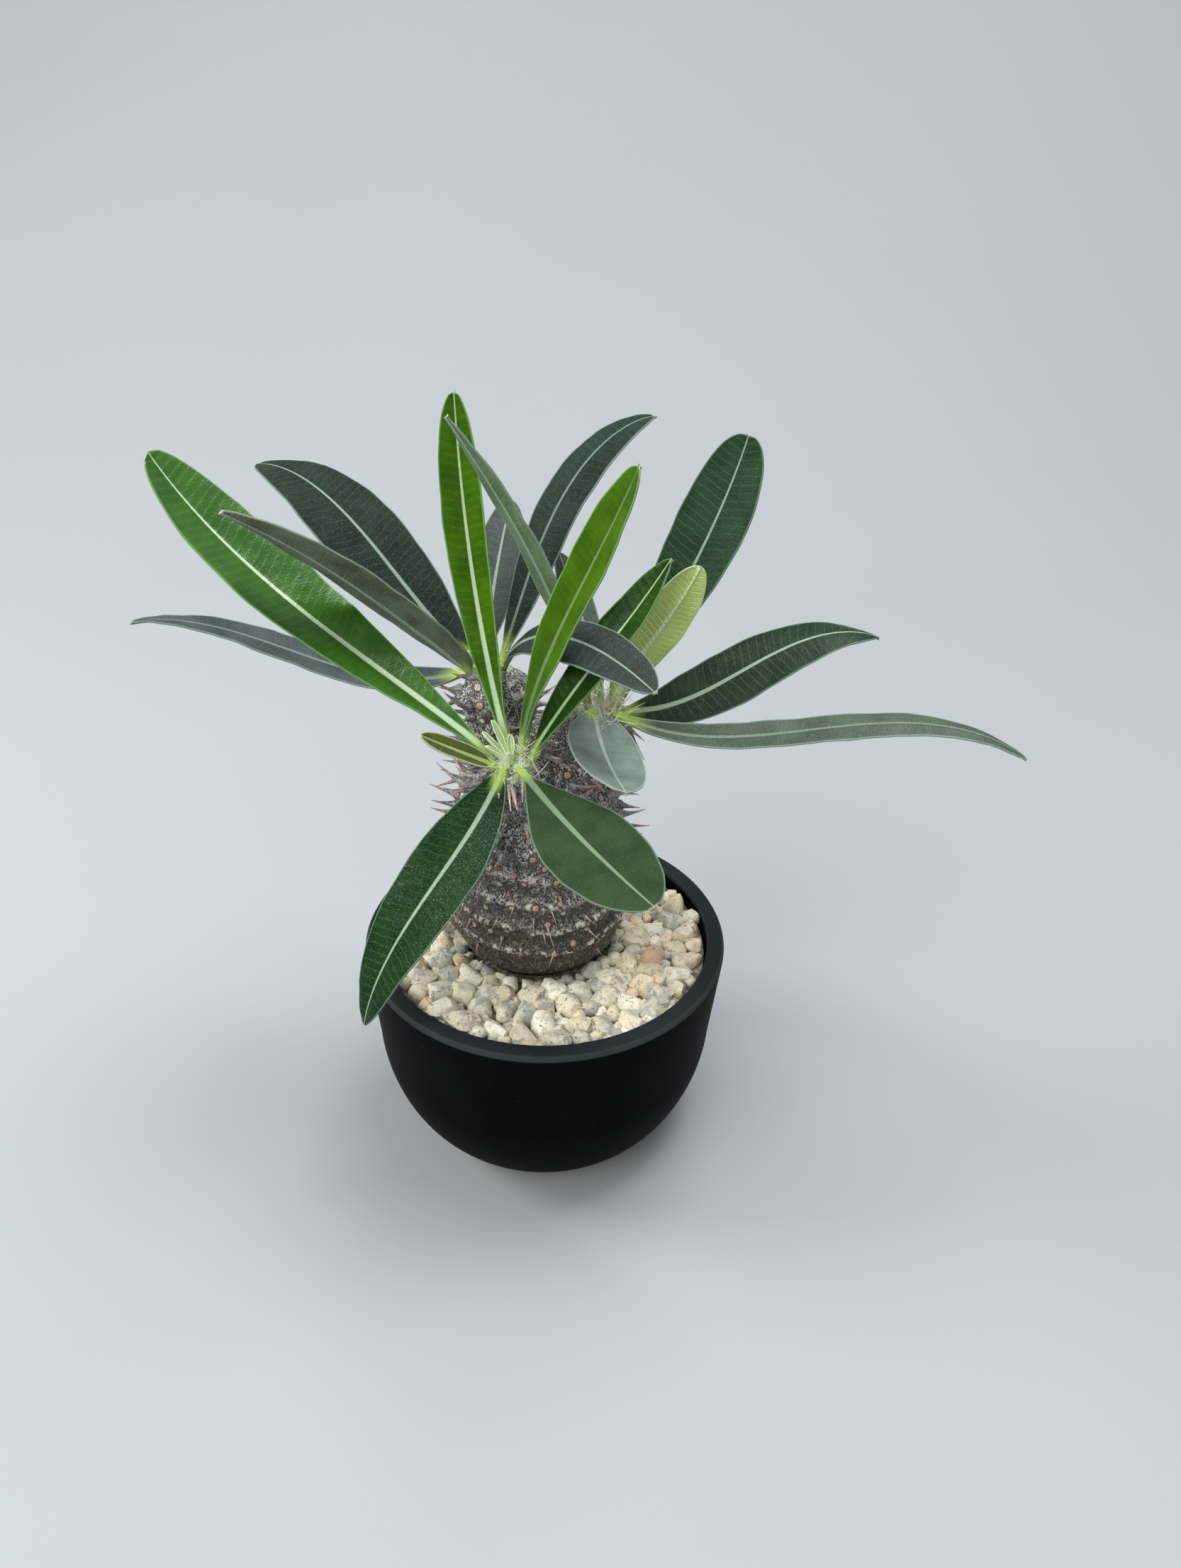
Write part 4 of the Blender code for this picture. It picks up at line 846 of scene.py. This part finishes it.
# Each leaf: its crown, length and width; heading; the slope at its base, middle and tip; the turn of the blade about
# its midrib at base and tip; how far each half is folded up; where its stalk starts round the crown (around, reach,
# level); where its blade starts and how it widens (foot, wedge); where it is widest, how full its tip is, and its
# kind, with what is its own.
LEAVES = {
    "leaf_front_long_left": dict(
        crown="front", length=93, width=19, heading=172, rise=(41, 38, 60), roll=(-18, -18), fold=(18, 18),
        widest=0.66, tip=0.5, kind="bright", dark=(0.022, 0.085, 0.006), light=(0.042, 0.130, 0.010),
        rib=(0.48, 0.62, 0.40), rib_width=1.35,
    ),
    "leaf_front_young_left": dict(
        crown="front", length=18, width=5, heading=200, rise=(32, 32, 34), roll=(-30, -30), fold=(10, 10),
        around=207, reach=4.5, level=0, widest=0.5, tip=0.5, kind="young", dark=(0.040, 0.060, 0.003),
        light=(0.064, 0.088, 0.008), back=((0.046, 0.066, 0.003), (0.073, 0.098, 0.008)), veins=0.1, specks=0.1,
    ),
    "leaf_front_upright": dict(
        crown="front", length=77, width=10, heading=116, rise=(48, 69, 85), roll=(-36, -36), fold=(25, 20),
        around=108, reach=2.6, level=0.8, widest=0.66, tip=0.45, kind="bright", dark=(0.026, 0.082, 0.0005),
        light=(0.046, 0.130, 0.0005), rib=(0.42, 0.54, 0.34), gloss=0.12, rib_width=1.0,
    ),
    "leaf_front_upright_right": dict(
        crown="front", length=69, width=12, heading=-12, rise=(83, 67, 70), roll=(44, 44), fold=(17, 17), around=44,
        reach=2.4, level=1, widest=0.65, tip=0.5, kind="bright", dark=(0.028, 0.078, 0.001),
        light=(0.048, 0.120, 0.001), rib=(0.13, 0.20, 0.08), gloss=0.12, rib_width=0.9,
    ),
    "leaf_front_short_right": dict(
        crown="front", length=52, width=12, heading=16, rise=(62, 53, 59), roll=(12, 12), fold=(14, 14), around=14,
        reach=4.2, level=0.5, widest=0.55, tip=0.6, kind="bright", dark=(0.010, 0.036, 0.002),
        light=(0.022, 0.062, 0.004), gloss=0.06, net=0.1, grain=0.03, rib_width=0.8,
    ),
    "leaf_front_hanging_left": dict(
        crown="front", length=64, width=19, heading=225, rise=(-61, -41, -77), roll=(-12, 8), fold=(8, 4),
        around=245, foot=0, wedge=0.8, widest=0.46, tip=0.7, kind="dark", dark=(0.001, 0.016, 0.001),
        light=(0.005, 0.029, 0.003), rough=0.24, gloss=0.08, fuzz=0, net=0.6, specks=0.20, grain=0.05,
        rib_width=0.9,
    ),
    "leaf_front_hanging_right": dict(
        crown="front", length=55, width=19, heading=-60, rise=(-8, 1, 6), roll=(16, 16), fold=(3, 3), around=-60,
        foot=0.03, wedge=1.1, widest=0.57, tip=0.55, kind="dark", dark=(0.009, 0.025, 0.005),
        light=(0.019, 0.040, 0.011), rib=(0.13, 0.20, 0.11), rough=0.6, gloss=0.2, veins=0.0, net=0.25, specks=0.45,
        rib_width=1.0,
    ),
    "leaf_rear_low_left": dict(
        crown="rear", length=78, width=9, heading=178, rise=(-25, 19, -14), roll=(-30, 5), fold=(5, 5), reach=5.5,
        level=-2, widest=0.45, tip=0.6, kind="grey", dark=(0.028, 0.040, 0.040), light=(0.052, 0.070, 0.070),
        rib=(0.14, 0.18, 0.16), gloss=0.15,
    ),
    "leaf_rear_broad_left": dict(
        crown="rear", length=76, width=20, heading=147, rise=(23, 38, -12), roll=(-35, 0), fold=(0, 0), level=-1,
        widest=0.56, tip=0.55, kind="grey", dark=(0.005, 0.012, 0.007), light=(0.013, 0.026, 0.017), rough=0.55,
        gloss=0.08, veins=0.25, specks=0.6, rib_width=0.75,
    ),
    "leaf_rear_narrow_left": dict(
        crown="rear", length=67, width=13, heading=210, rise=(44, 43, 30), roll=(33, 33), fold=(10, 10), level=-1,
        widest=0.45, tip=0.6, kind="grey", back=((0.050, 0.062, 0.028), (0.115, 0.145, 0.088)),
        margin=(0.22, 0.26, 0.20),
    ),
    "leaf_rear_hidden": dict(
        crown="rear", length=40, width=11, heading=82, rise=(68, 41, 37), roll=(0, 0), fold=(5, 5), around=108,
        widest=0.6, tip=0.5, kind="grey",
    ),
    "leaf_rear_long_right": dict(
        crown="rear", length=69, width=12, heading=38, rise=(65, 57, -1), roll=(9, 9), fold=(-5, -5), around=50,
        widest=0.55, tip=0.6, kind="grey", dark=(0.007, 0.016, 0.010), light=(0.015, 0.030, 0.022),
        rib=(0.15, 0.21, 0.16), rough=0.45, gloss=0.08, rib_width=0.5,
    ),
    "leaf_rear_arched": dict(
        crown="rear", length=51, width=12, heading=-43, rise=(63, 9, -22), roll=(50, 10), fold=(-20, 10), level=0.6,
        widest=0.65, tip=0.5, kind="grey", dark=(0.008, 0.016, 0.012), light=(0.018, 0.032, 0.027), gloss=0.2,
        rib_width=0.6,
    ),
    "leaf_right_long": dict(
        crown="right", length=62, width=14, heading=7, rise=(-12, 32, -24), roll=(60, 5), fold=(10, -15), around=15,
        widest=0.5, tip=0.7, kind="dark", gloss=0.12, veins=0.28, grain=0.05,
    ),
    "leaf_right_low": dict(
        crown="right", length=90, width=8, heading=-10, rise=(-25, 15, -35), roll=(30, 5), fold=(20, -20),
        around=-25, widest=0.5, tip=0.6, kind="grey", dark=(0.026, 0.046, 0.027), light=(0.054, 0.082, 0.055),
        back=((0.10, 0.16, 0.03), (0.17, 0.24, 0.07)), rib=(0.13, 0.19, 0.13), rib_width=0.5,
    ),
    "leaf_right_broad": dict(
        crown="right", length=66, width=18, heading=42, rise=(50, 54, 70), roll=(12, 12), fold=(20, 8), around=50,
        reach=4.6, widest=0.68, tip=0.45, kind="dark", dark=(0.007, 0.024, 0.008), light=(0.016, 0.042, 0.016),
        gloss=0.06, veins=0.36, grain=0.05,
    ),
    "leaf_right_young": dict(
        crown="right", length=37, width=11, heading=8, rise=(68, 57, 67), roll=(-88, -88), fold=(2, 2), around=50,
        reach=2.4, level=0.7, widest=0.6, tip=0.5, kind="young", back=((0.36, 0.50, 0.10), (0.50, 0.64, 0.17)),
        rib=(0.70, 0.78, 0.46), pale=(0.78, 0.84, 0.46), veins=1.0, vein_width=0.2, spacing=1.2, net=0.1,
        relief=0.24,
    ),
    "leaf_right_drooping": dict(
        crown="right", length=32, width=16, heading=-77, rise=(-35, 0, 10), roll=(-12, -12), fold=(8, 8),
        around=-130, reach=3.2, level=1, foot=0, wedge=0.55, widest=0.36, tip=0.55, kind="grey",
        dark=(0.10, 0.14, 0.115), light=(0.17, 0.225, 0.195), rib=(0.30, 0.38, 0.34), margin=(0.28, 0.36, 0.32),
        rough=0.55, specks=0.9,
    ),
    "leaf_right_upright": dict(
        crown="right", length=70, width=9, heading=181, rise=(78, 64, 55), roll=(39, 39), fold=(0, 0), around=160,
        reach=3, level=0.5, widest=0.5, tip=0.7, kind="grey", back=((0.062, 0.104, 0.040), (0.103, 0.163, 0.068)),
    ),
    "leaf_right_rear": dict(
        crown="right", length=38, width=8, heading=112, rise=(78, 36, 37), roll=(9, 9), fold=(15, 15), around=104,
        reach=4.2, level=0.5, widest=0.6, tip=0.5, kind="grey", dark=(0.023, 0.046, 0.020),
        light=(0.043, 0.073, 0.036),
    ),
}


def parabola(values, t):
    """The value at t on the parabola through values at 0, a half and 1."""
    base, middle, tip = values
    return base + (4 * middle - 3 * base - tip) * t + 2 * (base + tip - 2 * middle) * t * t


def slide(ends, t):
    """From the first of two values to the second as t goes from 0 to 1."""
    return ends[0] + (ends[1] - ends[0]) * t


def leaf_direction(values, t):
    """Which way the midrib runs, and the way straight up from it, before the leaf is turned to its heading."""
    slope = math.radians(parabola(values["rise"], t))
    ahead = Vector((math.cos(slope), 0, math.sin(slope)))
    return ahead, ahead.cross(Vector((0, 1, 0)))


def leaf_half_width(values, t):
    """Half the leaf's width at a share of its length, stalk and point included."""
    widest, tip, foot = values["widest"], values["tip"], values["foot"]
    s = min(1, max(0, (t - foot) / (1 - foot)))
    if s < widest:
        wedge = values.get("wedge", tip * widest / (1 - widest))
        blade = math.sin(math.pi / 2 * (s / widest) ** wedge)
    else:
        blade = (1 - ((s - widest) / (1 - widest)) ** 2) ** tip
    stalk = min(STALK_HALF_WIDTH, values["width"] / 4)
    stalk *= min(1, POINT_WIDTH + max(0, 1 - t) ** POINT_ROUNDNESS * POINT_GROWTH)
    return ((blade * values["width"] / 2) ** 3 + stalk**3) ** (1 / 3)


def leaf_rows(values, count):
    """The midrib in world millimetres, as rows of (t, point, ahead, left, up), with its root inside the crown."""
    heading = Matrix.Rotation(math.radians(values["heading"]), 3, "Z")
    start, middle = BRANCHES[values["crown"]]
    around = math.radians(values.get("around", values["heading"]))
    reach = values["reach"]
    sideways = Vector((reach * math.cos(around), reach * math.sin(around), 0))
    foot = middle / MM + sideways + Vector((0, 0, values["level"]))
    point, before = Vector(foot), None
    rows, last = [], 0
    for k in range(count + 1):
        t = 1 - (1 - k / count) ** ROW_CROWDING
        ahead, upright = leaf_direction(values, t)
        if before:
            point = point + heading @ (before + ahead).normalized() * values["length"] * (t - last)
        before, last = ahead, t
        turn = math.radians(slide(values["roll"], t))
        left = math.cos(turn) * Vector((0, 1, 0)) + math.sin(turn) * upright
        up = math.cos(turn) * upright - math.sin(turn) * Vector((0, 1, 0))
        rows.append((t, point, heading @ ahead, heading @ left, heading @ up))
    t, point, ahead, left, up = rows[0]
    deep = middle / MM - (middle - start).normalized() * ROOT_DEPTH + sideways * ROOT_SPREAD
    elbow = point - ahead * ROOT_ELBOW
    roots = []
    for k in range(ROOT_ROWS):
        s = k / ROOT_ROWS
        bend = deep * (1 - s) ** 2 + elbow * 2 * s * (1 - s) + point * s * s
        roots.append(((s - 1) * ROOT_LENGTH / values["length"], bend, ahead, left, up))
    return roots + rows


def leaf_blade(name, own):
    """One leaf, from a flat grid bent along its midrib and given its thickness."""
    values = {**USUAL, **KINDS[own["kind"]], **own}
    length = values["length"]
    count = max(FEWEST_ROWS, round(length * MM / LEAF_ROW))
    rows = leaf_rows(values, count)
    last = len(rows) - 1
    leaf = added(name, bpy.ops.mesh.primitive_grid_add, x_subdivisions=last, y_subdivisions=LEAF_COLUMNS, size=2)
    thickness = leaf.vertex_groups.new(name="thickness")
    most = STALK_THICKNESS + RIB_THICKNESS + BLADE_THICKNESS
    seed = sum(ord(letter) for letter in name)
    places, spots = [], []
    for vert in leaf.data.vertices:
        t, point, ahead, left, up = rows[round((vert.co.x + 1) / 2 * last)]
        u = vert.co.y
        inside = max(t, 0)
        half = leaf_half_width(values, inside)
        fold = math.radians(slide(values["fold"], inside))
        across = u * half
        stalk = max(0, 1 - inside / (2 * STALK_END))
        bent = math.sqrt(u * u + FOLD_ROUNDNESS**2) - FOLD_ROUNDNESS
        rib_half = RIB_NARROWEST + RIB_SPREAD * values["rib_width"] * (1 - inside) ** 0.8
        rib = math.exp(-((across / rib_half) ** 2))
        blade_share = (1 - stalk) * (1 - rib)
        ripple = noise.noise(Vector((length * inside / RIPPLE_LENGTH + seed, u * 0.8, seed * 0.37)))
        veins = math.cos(math.tau * (length * inside - abs(across) * VEIN_SLANT) / values["spacing"])
        lift = 0.30 * BLADE_THICKNESS + RIPPLE_HEIGHT * ripple * abs(u) ** 1.5 * (1 - stalk)
        lift -= MARGIN_DROP * half * abs(u) ** 4
        lift += values["relief"] * (1 - max(0, veins) ** 6) * blade_share * (1 - u**6)
        lift += BUMP_HEIGHT * blade_share * noise.noise(Vector((length * inside, across, seed)) / BUMP_SIZE)
        lift -= RIB_DIP * rib * (1 - stalk)
        sway = noise.noise(Vector((length * inside / SWAY_LENGTH, seed, u))) * abs(u) ** 3 * (1 - stalk)
        sideways = (u * math.cos(fold) * half + SWAY_WIDTH * sway) * left + half * bent * math.sin(fold) * up
        places.append((point + sideways + lift * up) * MM)
        round_back = math.sqrt(max(0, 1 - u * u))
        thick = MARGIN_THICKNESS + (BLADE_THICKNESS - MARGIN_THICKNESS) * round_back
        thick += RIB_THICKNESS * rib * (1 - 0.8 * inside) * (1 - stalk) + STALK_THICKNESS * stalk * round_back
        thickness.add([vert.index], min(1, thick * values["thin"] / most), "REPLACE")
        spots += (length * t, across, half - abs(across))
    for vert, place in zip(leaf.data.vertices, places):
        vert.co = place
    leaf.data.attributes.new("spot", "FLOAT_VECTOR", "POINT").data.foreach_set("vector", spots)
    leaf.data.materials.append(leaf_paint(name + "_face", values, seed, False))
    leaf.data.materials.append(leaf_paint(name + "_back", values, seed, True))
    apply_modifier(
        leaf, "SOLIDIFY", thickness=most * MM, offset=-1, vertex_group="thickness", material_offset=1,
        use_quality_normals=True,
    )
    leaf.vertex_groups.clear()
    alone(leaf)
    bpy.ops.object.shade_smooth_by_angle(angle=math.radians(60))
    return leaf


def leaf_paint(name, values, seed, back):
    """The face's or the back's paint: green patches, side veins, a fine net, specks, a pale rib and margin."""
    gloss, fuzz = (0.2, values["fuzz"] + 0.08) if back else (values["gloss"], values["fuzz"])
    paint = Paint(name, Sheen_Weight=fuzz, Sheen_Roughness=0.4, Specular_IOR_Level=gloss)
    spot = paint.stored("spot")
    length_on, across, edge = paint.axes(spot)
    t = length_on / values["length"]
    patch = paint.add("ShaderNodeMapping", {}, {"Vector": spot, "Location": (seed, 0, 0), "Scale": (1, 1, 0)})
    weave = paint.add("ShaderNodeMapping", {}, {"Vector": spot, "Location": (seed, 0, 0), "Scale": (1.5, 0.75, 0)})
    cloud = paint.noise(patch, 7)
    grain = paint.noise(patch, 0.5, roughness=0.65)
    net = paint.cells(weave, 0.72, "DISTANCE_TO_EDGE").between(0.0, 0.22)
    wobble = paint.noise(patch, 2.4, detail=2) * 0.5
    phase = (length_on - abs(across) * VEIN_SLANT) / values["spacing"] + wobble
    vein = phase.math("PINGPONG", 0.5).between(values["vein_width"], 0.01) * edge.between(0.2, 1.2)
    specks = paint.cells(patch, 0.5).between(0.40, 0.15) * grain.between(0.40, 0.60)
    rib_half = (1 - t) * 0.62 * values["rib_width"] + 0.13
    rib = (abs(across) / rib_half + (grain - 0.5) * 0.3).between(1.25, 0.8)
    stalk = t.between(0.11, 0.0) * abs(across).between(2.2, 1.0)
    dark, light = values["back"] if back else (values["dark"], values["light"])
    pale = tuple(0.72 * a + 0.28 * b for a, b in zip(light, values["rib"]))
    if back:
        pale = values.get("pale", pale)
    colour = paint.layered(
        paint.mix((cloud + grain * 0.3).between(0.45, 0.85), dark, light),
        ((1 - net) * values["net"] * 0.5, pale if back else dark),
        (vein * values["veins"], pale),
        (specks * values["specks"], pale),
        (rib * 0.92, values["rib"]),
        (edge.between(0.42, 0.12) * 0.8, values["margin"]),
        (stalk * 0.9, (0.34, 0.47, 0.06)),
        (t.between(0.991, 0.999) * 0.4, (0.55, 0.60, 0.42)),
    )
    height = net * 0.5 * values["net"] - vein * values["veins"] + grain * values["grain"]
    return paint.finish(
        Base_Color=colour,
        Roughness=grain * 0.16 + cloud * 0.08 + (values["rough"] + (0.25 if back else 0) - 0.12),
        Normal=paint.bump(height, 0.16 * MM),
    )


leaves = []
for name, values in LEAVES.items():
    leaf = leaf_blade(name, values)
    leaf.name = leaf.data.name = name.removeprefix("leaf_") + "_leaf"
    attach(leaf, "root")
    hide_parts(name)
    leaves.append(leaf)

# The newborn leaves stand folded in the middle of each crown, a few millimetres long and pale with down.
BUDS = {
    "front": ((140, 52, 9), (165, 40, 8), (190, 34, 6), (100, 60, 5), (250, 62, 3)),
    "rear": ((300, 70, 6), (120, 65, 5), (200, 55, 4)),
    "right": ((250, 75, 6), (20, 60, 5), (110, 65, 7)),
}
KINDS["newborn"] = dict(
    slot="newborn_leaf", dark=(0.22, 0.36, 0.09), light=(0.38, 0.52, 0.20), rib=(0.46, 0.60, 0.30),
    margin=(0.64, 0.73, 0.48), back=((0.34, 0.48, 0.16), (0.54, 0.68, 0.34)), rough=0.6,
    veins=0.3, net=0.3, specks=0.3, relief=0.02, fuzz=0.3, rib_width=0.35, thin=0.55,
)
for crown, leaflets in BUDS.items():
    grown = []
    for heading, slope, length in leaflets:
        values = dict(
            crown=crown, length=length, width=1.9, heading=heading, rise=(slope, slope + 4, slope + 10), roll=(0, 0),
            fold=(42, 20), reach=0.9, level=0.2, foot=0, widest=0.62, tip=0.5, kind="newborn",
        )
        grown.append(leaf_blade(crown + "_leaflet", values))
    bud = joined(crown + "_newborn_leaves", grown)
    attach(bud, "root")
    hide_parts(crown + "_crown_bud")

# The spines are hard grey thorns with a thick foot and a red-brown point. They stand in spreading pairs, spiralling
# round the branches and the shoulder, and low on the bulb only thin worn ones are left.
SPINE_SIDES = 7
# The model of a spine is one unit long, and as thin as its radii in millimetres make a spine of this length.
SPINE_LENGTH = 7
SPINE_SHARES = (0, 0.07, 0.18, 0.34, 0.52, 0.72, 0.9, 1)
SPINE_FOOT = 1.3
SPINE_MIDDLE = 0.62
SPINE_POINT = 0.11
SPINE_CURVES = (0.04, 0.13, 0.22)
SPINE_SINK = 0.14
SPINE_TAPER, SPINE_FLARE, SPINE_TWIST = 0.8, 6, 0.8
THIN, OLD_THIN = 0.3, 0.28
# How far apart the feet of a pair stand, how much the two spread, in shares of the angle, how far they droop in
# degrees and how long they are in millimetres; then the slopes and the lengths of the old thin ones.
PAIR_GAP = 1.5 * MM
PAIR_SPREAD = math.radians(17)
PAIR_SPREADS, PAIR_DROOPS, PAIR_LENGTHS = (0.6, 1.5), (-18, 16), (5, 7.3)
OLD_LEANS, OLD_DROOPS, OLD_LENGTHS = (-0.8, 0.8), (0.4, 1.6), (2, 4)
LEAF_CLEARANCE = 0.7 * MM

spine_models = []
for curve in SPINE_CURVES:
    spine_rings = []
    for share in (-SPINE_SINK, *SPINE_SHARES):
        rise = max(0, share)
        wide = SPINE_MIDDLE * (1 - rise) ** SPINE_TAPER + (SPINE_FOOT - SPINE_MIDDLE) * math.exp(-rise * SPINE_FLARE)
        spine_rings.append((max(SPINE_POINT, wide) / SPINE_LENGTH, share))
    spine = drawn_up("spine_model", SPINE_SIDES, spine_rings)
    shares = []
    for vert in spine.data.vertices:
        shares += (max(0, vert.co.z), 0, 0)
        vert.co.x += curve * max(0, vert.co.z) ** 2
    spine.data.attributes.new("along", "FLOAT_VECTOR", "POINT").data.foreach_set("vector", shares)
    alone(spine)
    bpy.ops.object.shade_smooth_by_angle(angle=math.radians(60))
    spine_models.append(spine)

stem_tree = surface(stem)
leaf_trees = [surface(leaf) for leaf in leaves]
spine_chance = random.Random(5)
spine_placings = []


def spine_placing(foot, tip, thick, worn):
    """A spine from the skin nearest to its foot towards its point, bent a little upwards."""
    foot = stem_tree.find_nearest(foot)[0]
    aim = tip - foot
    length = aim.length
    aim.normalize()
    level = aim.cross(Vector((0, 0, 1))).normalized()
    bend = Matrix.Rotation(spine_chance.uniform(-SPINE_TWIST, SPINE_TWIST), 3, aim) @ level.cross(aim)
    turn = Matrix((bend, aim.cross(bend), aim)).transposed().to_4x4()
    size = Matrix.Diagonal((thick * SPINE_LENGTH * MM, thick * SPINE_LENGTH * MM, length, 1))
    shade = (spine_chance.random(), worn, spine_chance.random(), 1)
    return spine_chance.choice(spine_models), Matrix.Translation(foot) @ turn @ size, shade


def grow_spine(foot, out, lean, droop, lengths, thick, worn):
    """Adds a spine that leans sideways and droops by these slopes, if it keeps clear of every leaf."""
    level = Vector((0, 0, 1)).cross(out).normalized()
    tip = foot + (out + level * lean - Vector((0, 0, droop))).normalized() * spine_chance.uniform(*lengths) * MM
    along_it = [foot.lerp(tip, k / 4) for k in range(1, 5)]
    if all(tree.find_nearest(place)[3] >= LEAF_CLEARANCE for tree in leaf_trees for place in along_it):
        spine_placings.append(spine_placing(foot, tip, thick, worn))


for foot, tip in THORNS:
    spine_placings.append(spine_placing(Vector(foot) * MM, Vector(tip) * MM, 1, 0.0))
for foot, tip in THIN_THORNS:
    spine_placings.append(spine_placing(Vector(foot) * MM, Vector(tip) * MM, THIN, 1.0))
for place, out in pairs:
    level = Vector((0, 0, 1)).cross(out).normalized()
    for way in (-1, 1):
        lean = way * math.tan(PAIR_SPREAD * spine_chance.uniform(*PAIR_SPREADS))
        droop = math.tan(math.radians(spine_chance.uniform(*PAIR_DROOPS)))
        grow_spine(place + way * level * PAIR_GAP / 2, out, lean, droop, PAIR_LENGTHS, 1, 0.0)
for place, out in old_marks:
    lean = spine_chance.uniform(*OLD_LEANS)
    grow_spine(place, out, lean, spine_chance.uniform(*OLD_DROOPS), OLD_LENGTHS, OLD_THIN, 1.0)
spines = joined_copies("spines", spine_models, spine_placings)
horn = Paint("horny_spine", Specular_IOR_Level=0.8)
horn_spot = horn.place()
horn_rise = horn.axes(horn.stored("along"))[0]
horn_tone, horn_worn, _ = horn.channels("shade")
horn_grain = horn.noise(horn_spot, 0.5 * MM, detail=4, roughness=0.65)
horn_red = horn.mix(horn_grain.between(0.35, 0.65), (0.21, 0.100, 0.070), (0.52, 0.35, 0.26))
horn_colour = horn.layered(
    horn.mix((horn_grain + horn_tone * 0.2).between(0.45, 0.8), (0.048, 0.043, 0.038), (0.32, 0.305, 0.28)),
    ((horn_rise + (horn_tone - 0.5) * 0.35 + horn_worn * 0.6).between(0.35, 0.62), horn_red),
    ((horn_rise + horn_tone * 0.12).between(0.9, 1.02) * 0.7, (0.50, 0.36, 0.24)),
)
spines.data.materials.append(
    horn.finish(Base_Color=horn_colour, Roughness=horn_grain * 0.3 + 0.26, Normal=horn.bump(horn_grain, 0.08 * MM))
)
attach(spines, "root")
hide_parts("caudex")

# Down and dry bristles: each crown is packed with fine whitish hairs between the stalks, and the right crown also has
# longer tan bristles, the dried tips of old bud scales. They grow out of the branch ends.
HAIR_RADIUS = 0.06
WOOL_HAIRS = {"front": 3000, "rear": 900, "right": 1500}
BRISTLES = {"front": 30, "rear": 60, "right": 330}
HAIR_BENDS = (0.25, 0.6, 1.0)
HAIR_RINGS = ((1, 0), (0.85, 0.35), (0.6, 0.7), (0.15, 1))
HAIR_SINK = 0.2
# How far hairs start below a crown's middle in millimetres and how they scatter there, as a share of its tuft; how
# much they lean along the skin's normal, the branch and the way out from the middle, and how much they stray.
HAIR_DEPTH, HAIR_SCATTER = 1.5, 0.5
HAIR_LEANS, HAIR_STRAY = (0.7, 0.5, 0.7), 0.4
BRISTLE_RADIUS = HAIR_RADIUS * 2.4
WOOL_LENGTHS, BRISTLE_LENGTHS = (0.9, 2.4), (3.0, 6.0)
TUFT_RADIUS = 5.5 * MM
BRISTLE_TUFT = TUFT_RADIUS * 1.1
HAIR_REACH = 1.6 * MM

hair_models = []
for bend in HAIR_BENDS:
    hair = drawn_up("hair_model", 3, HAIR_RINGS)
    for vert in hair.data.vertices:
        vert.co.x += bend * vert.co.z**2 / HAIR_RADIUS
    hair_models.append(hair)


def hair_placings(count, spread, lengths, thick, dry, chance):
    """Hairs that grow out of whatever skin is near the middle of each crown, and lean away from it."""
    placings = []
    for crown, (start, middle) in BRANCHES.items():
        ahead = (middle - start).normalized()
        near = [stem_tree]
        near += [tree for tree, values in zip(leaf_trees, LEAVES.values()) if values["crown"] == crown]
        for _ in range(count[crown]):
            scatter = Vector([chance.gauss(0, HAIR_SCATTER) for _ in range(3)])
            place = middle + scatter * spread - ahead * HAIR_DEPTH * MM
            foot, normal, _, away = min((tree.find_nearest(place) for tree in near), key=lambda hit: hit[3])
            if away > HAIR_REACH or (foot - middle).length > spread:
                continue
            outwards = (foot - middle) / spread
            stray = Vector([chance.gauss(0, HAIR_STRAY) for _ in range(3)])
            side = normal if (place - foot).dot(normal) > 0 else -normal
            by_skin, by_branch, by_crown = HAIR_LEANS
            aim = (side * by_skin + ahead * by_branch + outwards * by_crown + stray).normalized()
            turn = Vector((0, 0, 1)).rotation_difference(aim).to_matrix().to_4x4()
            turn = turn @ Matrix.Rotation(chance.uniform(0, math.tau), 4, "Z")
            size = Matrix.Diagonal((thick * MM, thick * MM, chance.uniform(*lengths) * MM, 1))
            shade = (chance.random(), dry, chance.random(), 1)
            root = Matrix.Translation(foot - aim * HAIR_SINK * MM)
            placings.append((chance.choice(hair_models), root @ turn @ size, shade))
    return placings


hair_chance = random.Random(8)
wool_placings = hair_placings(WOOL_HAIRS, TUFT_RADIUS, WOOL_LENGTHS, HAIR_RADIUS, 0.0, hair_chance)
wool_placings += hair_placings(BRISTLES, BRISTLE_TUFT, BRISTLE_LENGTHS, BRISTLE_RADIUS, 1.0, hair_chance)
wool = joined_copies("crown_wool", hair_models, wool_placings)
down = Paint("pale_down", Roughness=0.75, Sheen_Weight=0.3)
down_tone, down_dry, _ = down.channels("shade")
down_mottle = down.noise(down.place(), 0.8 * MM, detail=2)
down_green = down.mix(down_tone * 0.7 + down_mottle * 0.3, (0.60, 0.72, 0.42), (0.94, 0.95, 0.84))
down_tan = down.mix(down_tone, (0.62, 0.50, 0.38), (0.92, 0.87, 0.78))
wool.data.materials.append(
    down.finish(Base_Color=down.mix(down_dry, down_green, down_tan), Roughness=down_mottle * 0.2 + 0.65)
)
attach(wool, "root")
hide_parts("caudex")
